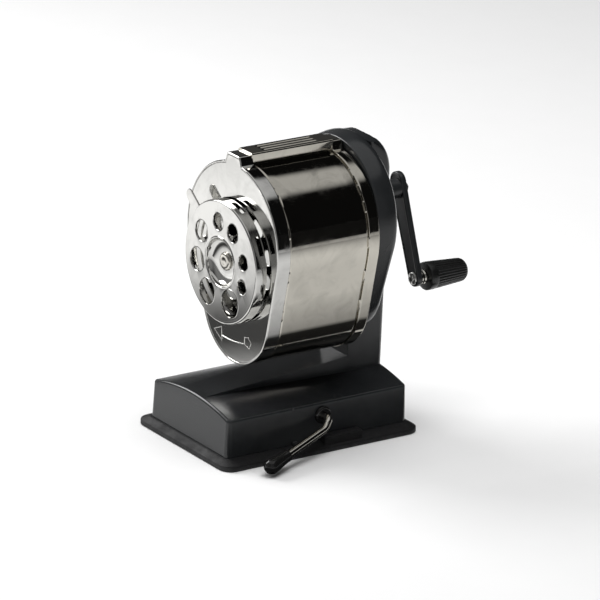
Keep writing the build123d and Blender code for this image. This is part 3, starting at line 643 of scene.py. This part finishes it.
def make_seam_tabs():
    """Short lanced tabs that lock the bands to the drum, each a raised sliver along the seam."""
    shape = Shape()
    outline = egg_outline(EGG, 0.0, TWIST)
    steps = [(Vector(b) - Vector(a)).length for a, b in zip(outline, outline[1:] + outline[:1])]
    along = np.concatenate([[0.0], np.cumsum(steps)])[:-1]
    total = sum(steps)
    right_half = [i for i in range(len(outline)) if outline[i][0] > 0]
    start = min(right_half, key=lambda i: abs(outline[i][1] - AXIS_Z + 6))
    # the seam's y, and the tabs' distances down the outline from just under the axis
    spots = ((FRONT_BAND_END + 0.25, (-30.0, -9.0, 13.0, 34.0, -118.0, -96.0)),
             (REAR_BAND_START - 0.25, (-33.0, -24.0, -15.0, 2.0, 20.0, 36.0, -118.0, -96.0)))
    for y, places in spots:
        for place in places:
            middle = (along[start] - place) % total
            shape.add(seam_tab(outline, along, total, middle, y))
    piece("seam_tabs", shape, NICKEL, "receptacle", sharp=30)


def seam_tab(outline, along, total, middle, y):
    """One tab: a low ridge over the outline's points near a place along it."""

    def past(i):
        return (along[i] - middle + total / 2) % total - total / 2

    points = sorted((i for i in range(len(outline)) if abs(past(i)) < TAB_HALF_LENGTH), key=past)
    rings = []
    for k, i in enumerate(points):
        tangent = (Vector(outline[(i + 1) % len(outline)]) - Vector(outline[i - 1])).normalized()
        out = Vector((tangent.y, -tangent.x))
        rise = 0.5 * min(1.0, 0.25 + min(k, len(points) - 1 - k) / 3)
        ring = []
        for across, height in ((-0.5, -0.6), (-0.5, 0.0), (-0.3, rise), (0.3, rise), (0.5, 0.0), (0.5, -0.6)):
            spot = Vector(outline[i]) + out * height
            ring.append((spot.x, y + across, spot.y))
        rings.append(ring)
    tab = Shape()
    tab.cap(tab.loft(rings))
    return tab


def make_rear_band():
    """Band with a rolled rear edge that turns inwards."""
    shape = Shape()
    start, end = REAR_BAND_START, RECEPTACLE_REAR_Y
    profile = [(-0.47, start), *arc(-0.3, start + 0.3, 0.3, -90, -10, 4)]
    profile += [(0.0, start + 1.0), (0.0, 22.5), (0.0, 24.5), (0.0, end - 0.75)]
    profile += arc(-0.7, end - 0.7, 0.7, 5, 90, 6)
    profile += [(-4.4, end), (-4.45, end - 0.5), (-4.4, end - 1.0), (-1.5, end - 1.0), (-1.25, end - 1.3),
                (-1.25, start)]
    shape.loft([receptacle_ring(BAND_RAISE + o, y, crest_at(-o)) for o, y in profile], joined=True)
    piece("rear_band_skin", shape, NICKEL, "receptacle", ("rear_band",), sharp=50)


def groove_depth(x, y):
    """How deep the three pressed grooves are at a place on the channel's top."""
    end = min(y - GROOVE_START_Y, GROOVE_END_Y - y)
    if end <= 0:
        return 0.0
    half_w = max(GROOVE_HALF_W * min(1.0, sqrt(min(end, 1.2) / 1.2)), 0.05)
    reach = min(abs(x - centre) for centre in GROOVE_XS) / half_w
    if reach >= 1:
        return 0.0
    return GROOVE_DEPTH * min(1.0, end) * (0.5 + 0.5 * cos(pi * reach))


def make_channel():
    """Box strip over the seam: three pressed grooves along its top, ends under the bands."""
    shape = Shape()
    edge_r = CHANNEL_EDGE_R
    corner_x, corner_z = CHANNEL_HALF_W - edge_r, CHANNEL_TOP_Z - edge_r
    right = [(corner_x + edge_r * sin(t), corner_z + edge_r * cos(t)) for t in np.linspace(0, pi / 2, 6)]
    right += [(CHANNEL_HALF_W, CHANNEL_SIDE_Z), (CHANNEL_HALF_W, CHANNEL_FOOT_Z)]
    right += [(CHANNEL_HALF_W - SHEET_T, CHANNEL_FOOT_Z)]
    across = [(-x, z) for x, z in reversed(right)]
    across += [(x, CHANNEL_TOP_Z) for x in np.linspace(-4.4, 4.4, 61)] + right
    places = [*np.linspace(FRONT_BAND_END - 0.6, -19.5, 4), *np.linspace(-19.0, 14.0, 56),
              *np.linspace(14.5, REAR_BAND_START + 0.6, 4)]
    rings = [[(x, y, z - groove_depth(x, y) if z == CHANNEL_TOP_Z else z) for x, z in across] for y in places]
    shape.cap(shape.loft(rings))
    piece("seam_channel_skin", shape, NICKEL, "receptacle", ("seam_channel",), sharp=45)


# ---- dial

def slot_half_height(angle):
    """Half height of the skirt's slot at this angle, or None between the slots."""
    for k in range(8):
        centre = radians(22.5 + 45 * k)
        away = abs((angle - centre + pi) % (2 * pi) - pi)
        if away <= SLOT_HALF_ANGLE:
            from_end = (SLOT_HALF_ANGLE - away) * DIAL_R
            if from_end >= SLOT_HALF_H:
                return SLOT_HALF_H
            return max(0.25, sqrt(max(0.0, SLOT_HALF_H ** 2 - (SLOT_HALF_H - from_end) ** 2)))
    return None


def skirt_wall(shape, radius, front_y, gaps):
    """One face of the skirt, open at the slots. Returns its five rings."""
    count = len(gaps)
    rows = []
    for level in range(5):
        ring = []
        for i, gap in enumerate(gaps):
            half_h = SLOT_HALF_H if gap is None else gap
            y = (front_y, -37.6, SLOT_Y - half_h, SLOT_Y + half_h, DIAL_END_Y)[level]
            angle = 2 * pi * i / count
            ring.append((radius * cos(angle), y, radius * sin(angle)))
        rows.append(shape.ring(ring))
    for level in range(4):
        for i in range(count):
            j = (i + 1) % count
            if level == 2 and gaps[i] is not None and gaps[j] is not None:
                continue
            shape.faces.append((rows[level][i], rows[level][j], rows[level + 1][j], rows[level + 1][i]))
    return rows


def slot_edges(shape, outer, inner, gaps):
    """The sheet's thickness round each slot."""
    count = len(gaps)
    for i in range(count):
        j = (i + 1) % count
        if gaps[i] is not None and gaps[j] is not None:
            for level in (2, 3):
                shape.faces.append((outer[level][i], outer[level][j], inner[level][j], inner[level][i]))
        for a, b in ((i, j), (j, i)):
            if gaps[a] is not None and gaps[b] is None:
                shape.faces.append((outer[2][a], outer[3][a], inner[3][a], inner[2][a]))


def cup_profile():
    """Raised ring round the cup, the pressed dome down to the rivet, and the same sheet from behind."""
    y = DIAL_FACE_Y
    turns = np.linspace(0.08, pi / 2 - 0.02, 14)
    turns_back = np.linspace(pi / 2 - 0.02, 0.08, 10)
    profile = [(12.9, y + 0.02), (12.75, y - 0.05), (12.5, y - 0.3), (12.2, y - 0.42), (11.9, y - 0.3),
               (11.7, y + 0.05)]
    profile += [(4.8 + 6.8 * cos(t) ** 0.75, y + 0.1 + 3.5 * sin(t)) for t in turns]
    profile += [(3.1, y + 3.6), (3.1, y + 3.6 + SHEET_T)]
    profile += [(5.2 + 7.3 * cos(t) ** 0.75, y + 0.1 + SHEET_T + 3.5 * sin(t)) for t in turns_back]
    profile += [(13.0, y + SHEET_T)]
    return profile


def hole_profile(radius, roll):
    """Rolled rim of a pencil hole and the wall through the sheet."""
    y = DIAL_FACE_Y
    return [(radius + roll, y + 0.02), (radius + 0.7 * roll, y - 0.1), (radius + 0.35 * roll, y - 0.14),
            (radius + 0.04, y + 0.02), (radius, y + 0.25), (radius, y + 0.85), (radius + 0.12, y + SHEET_T)]


def make_dial():
    """Pan with eight rolled-rim holes, dished centre, slotted skirt and a finger tab."""
    shape = Shape()
    count = 192
    edge_r = 0.9
    rim = [(DIAL_R - 1.7, DIAL_FACE_Y + 0.02), (DIAL_R - 1.4, DIAL_FACE_Y)]
    rim += arc(DIAL_R - edge_r, DIAL_FACE_Y + edge_r, edge_r, -90, 0, 8)
    made = shape.loft(turned(rim, 0, 0, count))
    gaps = [slot_half_height(2 * pi * i / count) for i in range(count)]
    outer = skirt_wall(shape, DIAL_R, DIAL_FACE_Y + edge_r, gaps)
    shape.bridge(made[-1], outer[0])
    inner = skirt_wall(shape, DIAL_R - SHEET_T, DIAL_FACE_Y + SHEET_T, gaps)
    shape.bridge(outer[4], inner[4])
    slot_edges(shape, outer, inner, gaps)
    cup = shape.loft(turned(cup_profile(), 0, 0, 96))
    front_loops, back_loops = [made[0], cup[0]], [inner[0], cup[-1]]
    for angle, diameter in DIAL_HOLES:
        # the large holes sit a little further out, with a finer rim, to stay clear of the cup
        large = diameter > LARGE_HOLE_OVER
        ring_r, roll = (LARGE_HOLE_CIRCLE_R, 0.3) if large else (HOLE_CIRCLE_R, 0.62)
        x, z = ring_r * cos(radians(angle)), ring_r * sin(radians(angle))
        hole = shape.loft(turned(hole_profile(diameter / 2, roll), x, z, 64))
        front_loops.append(hole[0])
        back_loops.append(hole[-1])
    shape.fill(front_loops)
    shape.fill(back_loops)
    shape.add(finger_tab())
    turn = Matrix.Translation((DIAL_X, 0, DIAL_Z)) @ Matrix.Rotation(-TWIST, 4, "Y")
    piece("dial_pan", shape.move(turn), PLATE_NICKEL, "dial", ("selector_dial",), sharp=42)


def finger_tab():
    """Rounded ear on the rim, for turning the dial."""
    shape = Shape()
    root, tip, half_w, lead = 29.6, 38.3, 2.7, radians(130)
    outline = [(root, -half_w - 0.5)] + arc(tip, 0, half_w, -90, 90, 16) + [(root, half_w + 0.5)]
    rings = []
    for inset, behind in ((0.35, 0.4), (0.1, 0.5), (0.0, 0.75), (0.0, 1.1), (0.1, 1.3), (0.35, 1.4)):
        ring = []
        for x, z in outline:
            if x > root:
                away = Vector((x - tip, z))
                if away.length > 0.01 and x > tip:
                    x, z = x - inset * away.x / away.length, z - inset * away.y / away.length
                else:
                    z = z - inset * (1 if z > 0 else -1)
            ring.append((x * cos(lead) - z * sin(lead), DIAL_FACE_Y + behind, x * sin(lead) + z * cos(lead)))
        rings.append(ring)
    shape.cap(shape.loft(rings))
    return shape


def make_dial_rivet():
    """Domed head with a dimple, shank through the plate, spread end behind it."""
    y = RIVET_TOP_Y
    head = [(0.9, y + 0.35), (1.6, y + 0.12), (2.4, y), (3.2, y + 0.06), (3.9, y + 0.3), (4.35, y + 0.7),
            (4.55, y + 1.1), (4.5, y + 1.42), (3.0, y + 1.45), (3.0, -32.0), (5.0, -31.6), (4.8, -29.9),
            (3.8, -29.6)]
    shape = lathe(head, DIAL_X, DIAL_Z, 72)
    piece("dial_rivet_head", shape, NICKEL_SMALL, "receptacle", ("dial_rivet",), sharp=50)


# ---- gear housing

def make_housing():
    """Egg-shaped casting: flares out to a rounded rim; its pocket holds the ring gear's collar."""
    shape = Shape()
    front, rim, floor = HOUSING_FRONT_Y, HOUSING_RIM_Y, POCKET_FLOOR_Y
    # distance out from the outline, y
    profile = [(-4.5, floor), (-4.5, front + 0.6), (-4.3, front + 0.15), (-4.0, front), (-0.7, front),
               (-0.25, front + 0.12), (0.0, front + 0.5), (0.12, front + 1.0), (0.35, front + 2.1),
               (0.62, front + 3.4), (0.88, front + 4.8), (1.07, front + 6.1), (1.17, front + 7.2),
               (1.19, front + 8.1), (1.12, front + 8.9), (0.96, front + 9.6), (0.72, front + 10.2),
               (0.42, rim), (0.05, rim + 0.45), (-0.8, rim + 1.1), (-2.4, rim + 2.2), (-4.6, HOUSING_REAR_Y)]
    made = shape.loft([at_y(egg_outline(HOUSING, o), y) for o, y in profile])
    back, bore = [shape.circle(0, AXIS_Z, HOUSING_BORE_R, y, 48) for y in (HOUSING_REAR_Y, floor)]
    shape.bridge(back, bore)
    collar = [(19.0, floor), (19.0, 24.7), (18.7, 24.3), (16.5, 24.3), (16.2, 24.6), (16.2, floor)]
    ring = shape.loft(turned(collar, 0, AXIS_Z))
    for loops in ([made[0], ring[0]], [ring[-1], bore], [made[-1], back]):
        shape.fill(loops)
    piece("gear_housing_casting", shape, ENAMEL, "stand", ("gear_housing",), sharp=42)


# ---- crank

def crank_place():
    """The arm's frame: local z runs from its lower end up to the shaft."""
    return Matrix.Translation((0, 0, AXIS_Z)) @ Matrix.Rotation(-CRANK_LEAN, 4, "Y")


def make_crank_arm():
    """Pressed arm with soft edges and a shallow trough along its outer face."""
    egg = (3.3, -CRANK_LENGTH, 5.0, 4.2)
    front, back = ARM_FRONT_Y, ARM_BACK_Y
    # distance in from the outline, y
    profile = [(1.6, front + 0.28), (1.25, front + 0.22), (0.95, front + 0.05), (0.7, front),
               (0.35, front + 0.1), (0.1, front + 0.35), (0.0, front + 0.8), (0.0, back - 0.8),
               (0.1, back - 0.35), (0.35, back - 0.1), (0.7, back)]
    shape = Shape()
    made = shape.loft([at_y(egg_outline(egg, -inset), y) for inset, y in profile])
    loops = []
    for z, r in ((0.0, 3.0), (-CRANK_LENGTH, PIN_R)):
        pair = [shape.circle(0, z, r, y, 40) for y in (front + 0.28, back)]
        shape.bridge(*pair)
        loops.append(pair)
    shape.fill([made[0], loops[0][0], loops[1][0]])
    shape.fill([made[-1], loops[0][1], loops[1][1]])
    shape.move(crank_place())
    piece("crank_arm_pressing", shape, ENAMEL_ARM, "crank", ("crank_arm",), sharp=50)


def make_handle_axle():
    """Peened head in front of the arm, spreading in four lobes, and the pin behind it."""
    shape = Shape()
    count = 48
    rings = []
    # radius, y, and how far the head's four lobes rise and fall there
    profile = ((0.7, 63.75, 0.0), (1.4, 63.4, 0.22), (2.2, 63.32, 0.3), (2.8, 63.5, 0.14), (3.08, 63.9, 0.0),
               (3.1, 64.55, 0.0), (PIN_R, 64.6, 0.0), (PIN_R, PIN_END_Y, 0.0))
    for radius, y, lobe in profile:
        ring = []
        for i in range(count):
            angle = 2 * pi * i / count
            wave = lobe * cos(4 * angle + 0.6) * 0.6
            ring.append((KNOB_X + radius * cos(angle), y + wave, KNOB_Z + radius * sin(angle)))
        rings.append(ring)
    made = shape.loft(rings)
    shape.fan(made[0], (KNOB_X, 63.9, KNOB_Z))
    shape.fan(made[-1], (KNOB_X, PIN_END_Y, KNOB_Z))
    piece("handle_axle_peened", shape, STEEL, "crank", ("handle_axle",), sharp=50)


def make_collar():
    """Spacer on the pin with a shallow groove round it."""
    profile = [(PIN_R, 67.52), (3.3, 67.52), (3.55, 67.7), (3.6, 68.0), (3.6, 68.6), (3.4, 68.85),
               (3.4, 69.5), (3.6, 69.75), (3.6, 70.4), (3.4, 70.8), (PIN_R, 70.85)]
    shape = Shape()
    shape.loft(turned(profile, KNOB_X, KNOB_Z, 72), joined=True)
    piece("handle_collar_ring", shape, NICKEL_SMALL, "crank", ("handle_collar",), sharp=40)


def make_knob():
    """Tapered grip: plain collar, ribs with rounded crests, domed end."""
    shape = Shape()
    per_rib = 12
    count = KNOB_RIBS * per_rib
    start, end = KNOB_START_Y, KNOB_END_Y
    # radius, y, share of the ribs' full depth
    rows = [(KNOB_BORE_R, start, 0), (6.3, start, 0), (6.72, start + 0.1, 0), (6.93, start + 0.35, 0),
            (7.0, start + 0.8, 0), (7.0, start + 3.6, 0), (6.9, start + 4.0, 0.0), (6.86, start + 4.15, 0.15),
            (6.86, start + 4.6, 0.75)]
    rows += [(6.86 - f, start + 5.1 + 15.1 * f, 1.0) for f in np.linspace(0.0, 1.0, 18)]
    for t in np.linspace(8, 84, 12):
        share = max(0.0, 1.0 - t / 62)
        rows.append((2.5 + 3.36 * cos(radians(t)), start + 20.3 + 3.45 * sin(radians(t)), share))
    rows += [(2.2, end - 0.18, 0), (1.2, end - 0.05, 0), (0.6, end, 0)]
    rings = []
    for radius, y, depth in rows:
        ring = []
        for i in range(count):
            angle = 2 * pi * i / count
            wave = abs(cos(KNOB_RIBS * angle / 2))
            r = radius - depth * RIB_DEPTH * (1.0 - wave ** 0.55)
            ring.append((KNOB_X + r * cos(angle), y, KNOB_Z + r * sin(angle)))
        rings.append(ring)
    made = shape.loft(rings)
    shape.fan(made[-1], (KNOB_X, end, KNOB_Z))
    bore = [(KNOB_BORE_R, start + 19.4), (1.9, start + 19.5)]
    inner = shape.loft(turned(bore, KNOB_X, KNOB_Z, count))
    shape.bridge(made[0], inner[0])
    shape.fan(inner[-1], (KNOB_X, start + 19.5, KNOB_Z))
    piece("handle_knob_ribbed", shape, KNOB_BLACK, "knob", ("handle_knob",), sharp=60,
          weighted=False)


# ---- vacuum lever

def make_lever():
    """Bent rod: journal across the base, elbow outside it, arm down into the grip."""
    end = LEVER_TIP + (LEVER_ELBOW - LEVER_TIP).normalized() * 1.5
    corners = [(LEVER_INNER_X, LEVER_Y, LEVER_Z), (LEVER_CORNER_X, LEVER_Y, LEVER_Z), LEVER_ELBOW, end]
    shape = tube(smooth_path(corners, LEVER_BEND_R, 12), LEVER_R, 40)
    piece("vacuum_lever_rod", shape, NICKEL_SMALL, "lever", ("vacuum_lever",), sharp=60)


def make_grip():
    """Dipped vinyl sleeve: thin mouth, full round end."""
    toward = (LEVER_TIP - LEVER_ELBOW).normalized()
    start = LEVER_TIP - toward * GRIP_LENGTH
    # radius, distance from the mouth
    rows = [(2.05, 0.3), (2.35, 0.0), (2.75, 0.15), (3.05, 0.6), (3.1, 1.4), (3.0, 2.2), (3.15, 4.5),
            (3.4, 7.5), (3.65, 10.0), (3.78, 11.6)]
    turns = [radians(t) for t in np.linspace(4, 86, 14)]
    rows += [(GRIP_R * cos(t), GRIP_LENGTH - GRIP_R + GRIP_R * sin(t)) for t in turns]
    path = [start + toward * along for _, along in rows]
    shape = tube(path, [r for r, _ in rows], 40)
    piece("lever_grip_sleeve", shape, VINYL, "lever", ("lever_grip",), sharp=70)


# ---- rubber pad

def make_pad():
    """Rubber lip round the base: upright edge with a soft roll, slope up to the casting."""
    shape = Shape()
    # half width, half length, corner radius, z
    rows = [(36.4, 54.0, 4.6, 2.0), (36.0, 53.6, 4.4, 0.0), (39.0, 56.6, 6.3, 0.0), (39.4, 57.0, 6.5, 0.35),
            (39.4, 57.0, 6.5, 2.2), (39.3, 56.9, 6.4, 2.6), (39.0, 56.6, 6.2, 2.85), (37.6, 55.3, 5.2, 3.55),
            (34.6, 53.9, 3.6, 4.5), (33.9, 53.4, 3.2, 4.7), (33.2, 52.6, 3.0, 4.7), (33.0, 52.4, 2.8, 2.0)]
    made = shape.loft([[(x, y, z) for x, y in rounded_rectangle(*sizes)] for *sizes, z in rows])
    shape.fill([made[-1]])
    shape.fill([made[0]])
    piece("suction_pad_rubber", shape, RUBBER, "stand", ("suction_pad",), sharp=50)


def rounded_block(low, high, edge):
    """Box between two corners with rolled edges, as stacked rounded outlines."""
    shape = Shape()
    centre = [(a + b) / 2 for a, b in zip(low, high)]
    half = [(b - a) / 2 for a, b in zip(low, high)]
    turns = [radians(t) for t in np.linspace(90, 0, 6)]
    levels = [(0.0, low[2])] + [(edge * (1 - sin(t)), high[2] - edge + edge * cos(t)) for t in turns]
    rings = []
    for inset, z in levels:
        outline = rounded_rectangle(half[0] - inset, half[1] - inset, max(edge - inset, 0.05) + 0.2, 5, 2)
        rings.append([(x + centre[0], y + centre[1], z) for x, y in outline])
    shape.cap(shape.loft(rings))
    return shape


def make_base_details():
    """Pull block on the rubber lip, lug and pip on the moulding's side."""
    # name, material, slot, two corners, edge radius
    blocks = (("suction_pad_pull_block", RUBBER, "base_rubber", (33.0, 1.0, 2.2), (38.2, 23.0, 7.6), 0.7),
              ("stand_side_lug", ENAMEL, "black_enamel", (32.4, -15.4, 4.6), (34.6, -12.4, 6.9), 0.5),
              ("stand_edge_pip", ENAMEL, "black_enamel", (31.9, -15.6, 22.6), (33.4, -14.3, 24.1), 0.45))
    for name, look, slot, low, high, edge in blocks:
        piece(name, rounded_block(low, high, edge), look, "stand", sharp=50)


# ---- pieces made from CAD nodes

def finish_node(name, look):
    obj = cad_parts[name]
    obj.data.materials.clear()
    obj.data.materials.append(look)


def make_stand():
    """The stand's casting, with the post's top pressed down to a curve flush with the housing's rim."""
    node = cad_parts["stand"]
    made = bmesh.new()
    made.from_mesh(node.data)
    made.transform(node.matrix_world)
    # cuts across the post's top let its flat faces follow the curve
    cuts = [(Vector((1, 0, 0)), x) for x in range(-12, 13, 2)]
    cuts += [(Vector((0, 1, 0)), y) for y in (37.9, 38.8, 39.8, 41.0, 42.4, 44.0, 46.0)]
    low_z, low_y = (POST_FROM_Z - 5.0) * MM, (POST_FROM_Y - 0.5) * MM
    for normal, place in cuts:
        faces = [f for f in made.faces if all(v.co.z > low_z and v.co.y > low_y for v in f.verts)]
        edges = {e for f in faces for e in f.edges}
        verts = {v for f in faces for v in f.verts}
        bmesh.ops.bisect_plane(made, geom=[*verts, *edges, *faces], plane_co=normal * place * MM,
                               plane_no=normal)
    for vert in made.verts:
        x, y, z = vert.co / MM
        if z >= POST_FROM_Z and y >= POST_FROM_Y:
            vert.co.z = min(z, HOUSING[0] + sqrt(max(0.0, POST_TOP_R ** 2 - x ** 2))) * MM
    mesh = bpy.data.meshes.new("stand_casting")
    made.to_mesh(mesh)
    made.free()
    mesh.materials.clear()
    mesh.materials.append(ENAMEL)
    obj = new_object("stand_casting", mesh)
    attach(obj, "stand")
    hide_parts("stand")


def dress_cad_nodes():
    finishes = ((ENAMEL_ARM, "black_enamel", ("crank_hub",)),
                (VINYL, "black_plastic", ("lever_bush",)),
                (STEEL, "zinc_steel", ("housing_screws", "pad_clamp", "lever_cam", "lever_clip",
                                       "lift_plate", "lift_yoke", "cutter_axle_left", "cutter_axle_right",
                                       "thrust_washer")),
                (DARK_STEEL, "zinc_steel", ("crank_shaft", "crank_nut")),
                (TOOL_STEEL, "gear_steel", ("ring_gear", "cutter_left", "cutter_right")),
                (BRONZE, "bronze", ("shaft_bushing",)),
                (ALLOY, "cast_alloy", ("cutter_carrier",)),
                (NICKEL_SMALL, "nickel", ("detent_spring",)))
    for look, slot, names in finishes:
        for name in names:
            finish_node(name, look)


# ---- stage, light and camera

CEILING_LEVEL = 0.56
FRONT_LEFT_LEVEL = 0.24
FRONT_RIGHT_LEVEL = 0.26
SURROUND_LEVEL = 0.005
CARD_Z = 0.0005
TOWARD_RIGHT = (1.0, 0.0, 0.0)
TOWARD_FRONT_LEFT = (-0.813, -0.582, 0.0)
TOWARD_FAR_RIGHT = (0.83, 0.55, 0.0)
CAMERA_TARGET = Vector((0.00006, 0.00965, 0.0639))
CAMERA_DISTANCE = 2.688


def plain_plane(name, corners, look, seen=True):
    """Four-cornered stage plane. Unseen ones show only in reflections."""
    mesh = bpy.data.meshes.new(name)
    mesh.from_pydata([Vector(c) for c in corners], [], [(0, 1, 2, 3)])
    obj = new_object(name, mesh)
    mesh.materials.append(look)
    if not seen:
        obj.visible_camera = False
        obj.visible_shadow = False
        obj.visible_diffuse = False
    return obj


def graded_look(name, direction, start, end, stops):
    """Grey that changes along a direction, between two distances from the origin."""
    n = look_nodes(name)
    place = n.span(n.toward(direction), start, end, 0.0, 1.0)
    return n.set(Base_Color=n.ramp(place, stops), Roughness=0.95)


def ground_card(name, centre, direction, half_length, half_width, graded):
    """Flat card just above the floor, seen only in the metal. Graded is (start, end, stops)."""
    centre = Vector((*centre, CARD_Z))
    along = Vector(direction).normalized()
    across = Vector((-along.y, along.x, 0))
    corners = [centre + along * a * half_length + across * b * half_width
               for a, b in ((-1, -1), (1, -1), (1, 1), (-1, 1))]
    plain_plane(name, corners, graded_look(name + "_grade", direction, *graded), seen=False)


def make_stage():
    """Pale floor, and cards whose greys give the nickel something to reflect; the one at the right is a
    painted shadow of the floor beside the base.
    """
    n = look_nodes("pale_floor")
    paper = n.noise(40.0, 3.0)
    floor_look = n.set(Base_Color=n.mix(paper, (0.88, 0.88, 0.88), (0.9, 0.9, 0.9)), Roughness=0.9)
    plain_plane("floor", ((-3, -3, 0), (3, -3, 0), (3, 3, 0), (-3, 3, 0)), floor_look)
    # painted shadow: a card standing for the floor's shade beside the base, dark there and lighter further
    # right, seen only in the metal's reflections
    ground_card("painted_shadow_card_right", (0.077, 0.02), TOWARD_RIGHT, 0.036, 0.12,
                (0.04, 0.115, ((0.0, 0.012), (0.5, 0.015), (0.8, 0.55), (1.0, 0.85))))
    ground_card("card_front_left", (-0.235, -0.170), TOWARD_FRONT_LEFT, 0.165, 0.30,
                (0.12, 0.44, ((0.0, 0.35), (0.06, 0.15), (0.11, 0.03), (0.22, 0.03), (0.30, 0.20),
                              (0.42, 0.62), (0.62, 0.90), (0.80, 0.92), (1.0, 0.70))))
    ground_card("card_far", (0.50, 0.36), TOWARD_FAR_RIGHT, 0.32, 0.5,
                (0.3, 0.95, ((0.0, 0.9), (0.35, 0.72), (1.0, 0.40))))
    n = look_nodes("dark_card")
    soot = n.mix(n.noise(30.0), (0.004, 0.004, 0.004), (0.006, 0.006, 0.006))
    dark_look = n.set(Base_Color=soot, Roughness=0.95)
    wall = ((0.6, 2.2, 0.0), (2.2, 0.5, 0.0), (2.2, 0.5, 0.6), (0.6, 2.2, 0.6))
    plain_plane("card_far_right", wall, dark_look, seen=False)


def area_light(name, place, target, size, power):
    data = bpy.data.lights.new(name, "AREA")
    data.shape = "SQUARE"
    data.size = size
    data.energy = power
    obj = new_object(name, data)
    obj.location = place
    obj.rotation_mode = "QUATERNION"
    obj.rotation_quaternion = (Vector(target) - Vector(place)).to_track_quat("-Z", "Y")
    return obj


def make_world():
    """Soft studio: pale ceiling, a faint glow front left and front right, near darkness elsewhere."""
    world = bpy.data.worlds.new("studio")
    bpy.context.scene.world = world
    n = Nodes(world, "Background", "Generated")
    # direction, where its glow starts and is full (cosine of the angle to it), level
    glows = (((0.0, 0.0, 1.0), 0.775, 0.825, CEILING_LEVEL),
             ((-0.80, -0.60, 0.0), 0.05, 0.85, FRONT_LEFT_LEVEL),
             ((0.86, -0.50, 0.10), 0.55, 0.98, FRONT_RIGHT_LEVEL))
    total = SURROUND_LEVEL
    for direction, start, full, level in glows:
        total = n.math("ADD", n.span(n.toward(direction), start, full, 0.0, level, "SMOOTHSTEP"), total)
    n.set(Color=(1.0, 1.0, 1.0), Strength=total)


def make_camera():
    azimuth, elevation, roll = radians(54.41), radians(19.86), radians(2.5)
    back = Vector((sin(azimuth) * cos(elevation), -cos(azimuth) * cos(elevation), sin(elevation)))
    right = Vector((cos(azimuth), sin(azimuth), 0))
    up = right.cross(-back)
    rolled_right = right * cos(roll) + up * sin(roll)
    rolled_up = up * cos(roll) - right * sin(roll)
    data = bpy.data.cameras.new("camera")
    data.sensor_width = 36.0
    data.lens = 334.7
    data.clip_start, data.clip_end = 0.1, 50.0
    obj = new_object("camera", data)
    rotation = Matrix((rolled_right, rolled_up, back)).transposed()
    obj.matrix_world = Matrix.Translation(CAMERA_TARGET + back * CAMERA_DISTANCE) @ rotation.to_4x4()
    bpy.context.scene.camera = obj


make_front_plate()
make_shell()
make_seam_tabs()
make_rear_band()
make_channel()
make_dial()
make_dial_rivet()
make_housing()
make_crank_arm()
make_handle_axle()
make_collar()
make_knob()
make_lever()
make_grip()
make_pad()
make_base_details()
make_stand()
dress_cad_nodes()
make_stage()
make_world()
area_light("key_left", (-0.75, -0.38, 0.62), (-0.05, 0, 0.05), 0.55, 7.0)
area_light("fill_above", (0.1, 0.1, 1.3), (0, 0, 0), 0.9, 12.0).visible_glossy = False
bpy.context.scene.view_settings.view_transform = "Standard"
make_camera()
